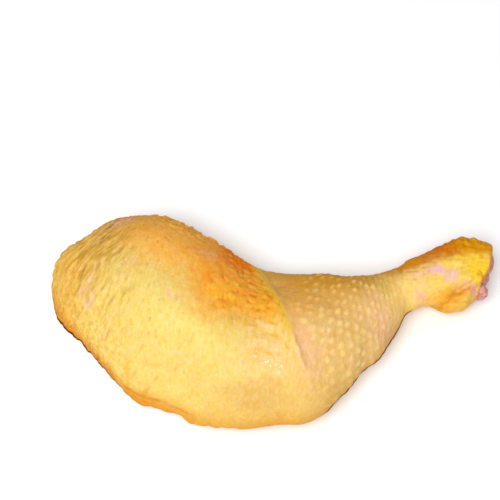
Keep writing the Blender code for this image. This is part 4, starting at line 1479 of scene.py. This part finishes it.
def meat_finish():
    """Moist dark muscle with pale fat along its seams and fine streaks of fat across it."""
    finish = Finish("dark_leg_meat")
    at = finish.place()
    seam = finish.mask("seam")
    fibres = finish.noise(finish.stretched(at, 0.7, 6.0, MEAT_GRAIN_TURN), 1.1, 3.0)
    colour = finish.mix(finish.blots(0.35, 0.65, at, 9.0, 3.0), MEAT_DARK, MEAT_RED)
    colour = finish.mix(finish.smooth(0.42, 0.7, fibres) * 0.5, colour, FIBRE_PINK)
    drawn_out = finish.stretched(at, 1.0, 3.0, MEAT_GRAIN_TURN)
    marbling = finish.blots(0.62, 0.72, drawn_out, 3.2, 4.0)
    colour = finish.mix(marbling * 0.7, colour, MARBLING)
    colour = finish.mix(finish.smooth(0.1, 0.6, seam) * 0.5, colour, SEAM_DARK)
    fatty = finish.smooth(0.75, 1.15, seam + finish.noise(at, 5.0) * 0.5)
    colour = finish.mix(fatty * 0.75, colour, SEAM_FAT)
    finish.flesh(colour, 0.3 + finish.noise(at, 1.5) * 0.2, 0.35, (1.0, 0.35, 0.25), 0.002)
    finish.fine_bump(fibres, MEAT_BUMP)
    return finish.material


def gristle_finish(name, pale, flushed, roughness):
    """Smooth wet cartilage or tendon, pale and flushed, darker on the cut face and low down."""
    finish = Finish(name)
    at = finish.place()
    flush = finish.blots(0.38, 0.66, at, 2.6, 3.0)
    colour = finish.mix(flush, pale, flushed)
    vessels = finish.blots(0.64, 0.7, at, 1.1, 3.0)
    colour = finish.mix(vessels * 0.5, colour, VESSEL_RED)
    height = finish.node("ShaderNodeSeparateXYZ", {}, {0: at}, 2)
    # Darker red low down on the gristle
    low = finish.smooth(11.0, 6.0, height + finish.noise(at, 3.0) * 3.0)
    colour = finish.mix(low * 0.85, colour, LOW_DARK_RED)
    _, outward, _ = cut_frame()
    facing = finish.node("ShaderNodeNewGeometry", {}, {}, "Normal")
    facing_out = finish.vector("DOT_PRODUCT", facing, tuple(outward), output="Value")
    blotted = finish.blots(0.35, 0.6, at, 3.0, 3.0)
    on_face = finish.smooth(0.5, 0.85, facing_out) * (0.4 + blotted * 0.6)
    colour = finish.mix(on_face * 0.85, colour, CUT_RED)
    finish.flesh(colour, roughness + flush * 0.1, 0.15, (1.0, 0.5, 0.4), 0.002)
    finish.fine_bump(finish.noise(at, 0.6, 3.0), GRISTLE_BUMP)
    return finish.material


def floor_finish():
    finish = Finish("studio_floor")
    finish.set(Base_Color=(0.94, 0.94, 0.94), Roughness=0.8, Specular_IOR_Level=0.1)
    return finish.material


# --- The set ------------------------------------------------------------------------------------

CAMERA_TARGET = np.array([-0.0120, 0.0365, 0.020])
CAMERA_DISTANCE, CAMERA_HEIGHT_ANGLE, CAMERA_LENS = 0.6234, math.radians(60), 85.0
FLOOR_SIZE, FLOOR_DROP = 6.0, 0.0002
KEY_PLACE, KEY_SIZE, KEY_POWER = (-0.38, -0.68, 1.26), 1.0, 21.5
STUDIO_STRENGTH = 0.5


def make_floor():
    half = FLOOR_SIZE / 2
    mesh = bpy.data.meshes.new("studio_floor")
    corners = [(-half, -half), (half, -half), (half, half), (-half, half)]
    mesh.from_pydata([(*corner, -FLOOR_DROP) for corner in corners], [], [(0, 1, 2, 3)])
    mesh.materials.append(floor_finish())
    floor = placed("studio_floor", mesh)


def aim(thing, target):
    direction = thing.location - type(thing.location)(target)
    thing.rotation_euler = direction.to_track_quat("Z", "Y").to_euler()


def make_softbox(name, place, size, power):
    light = bpy.data.lights.new(name, "AREA")
    light.shape = "SQUARE"
    light.size = size
    light.energy = power
    softbox = placed(name, light)
    softbox.location = place
    aim(softbox, (0, 0, 0))


def make_camera():
    lens = bpy.data.cameras.new("photo_view")
    lens.lens = CAMERA_LENS
    camera = placed("photo_view", lens)
    back = np.array([0, -math.cos(CAMERA_HEIGHT_ANGLE), math.sin(CAMERA_HEIGHT_ANGLE)])
    camera.location = CAMERA_TARGET + CAMERA_DISTANCE * back
    aim(camera, CAMERA_TARGET)
    bpy.context.scene.camera = camera


def make_set():
    world = bpy.data.worlds.new("studio")
    world.use_nodes = True
    background = world.node_tree.nodes["Background"]
    background.inputs["Color"].default_value = (1, 1, 1, 1)
    background.inputs["Strength"].default_value = STUDIO_STRENGTH
    bpy.context.scene.world = world
    bpy.context.scene.view_settings.view_transform = "Standard"
    make_softbox("key_softbox", KEY_PLACE, KEY_SIZE, KEY_POWER)
    make_floor()
    make_camera()


def dress(piece, node, material):
    """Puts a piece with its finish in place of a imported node."""
    piece.data.materials.clear()
    piece.data.materials.append(material)
    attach(piece, "root")
    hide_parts(node)


def main():
    make_set()
    dress(make_skin(), "skin", skin_finish())
    dress(make_meat(), "meat", meat_finish())
    cartilage = gristle_finish("knuckle_cartilage", CARTILAGE_PINK, CARTILAGE_RED, CARTILAGE_ROUGHNESS)
    dress(make_cartilage(), "joint_cartilage", cartilage)
    tendon = gristle_finish("cut_tendon", TENDON_PINK, TENDON_RED, TENDON_ROUGHNESS)
    dress(make_tendon(), "tendon_stub", tendon)


main()
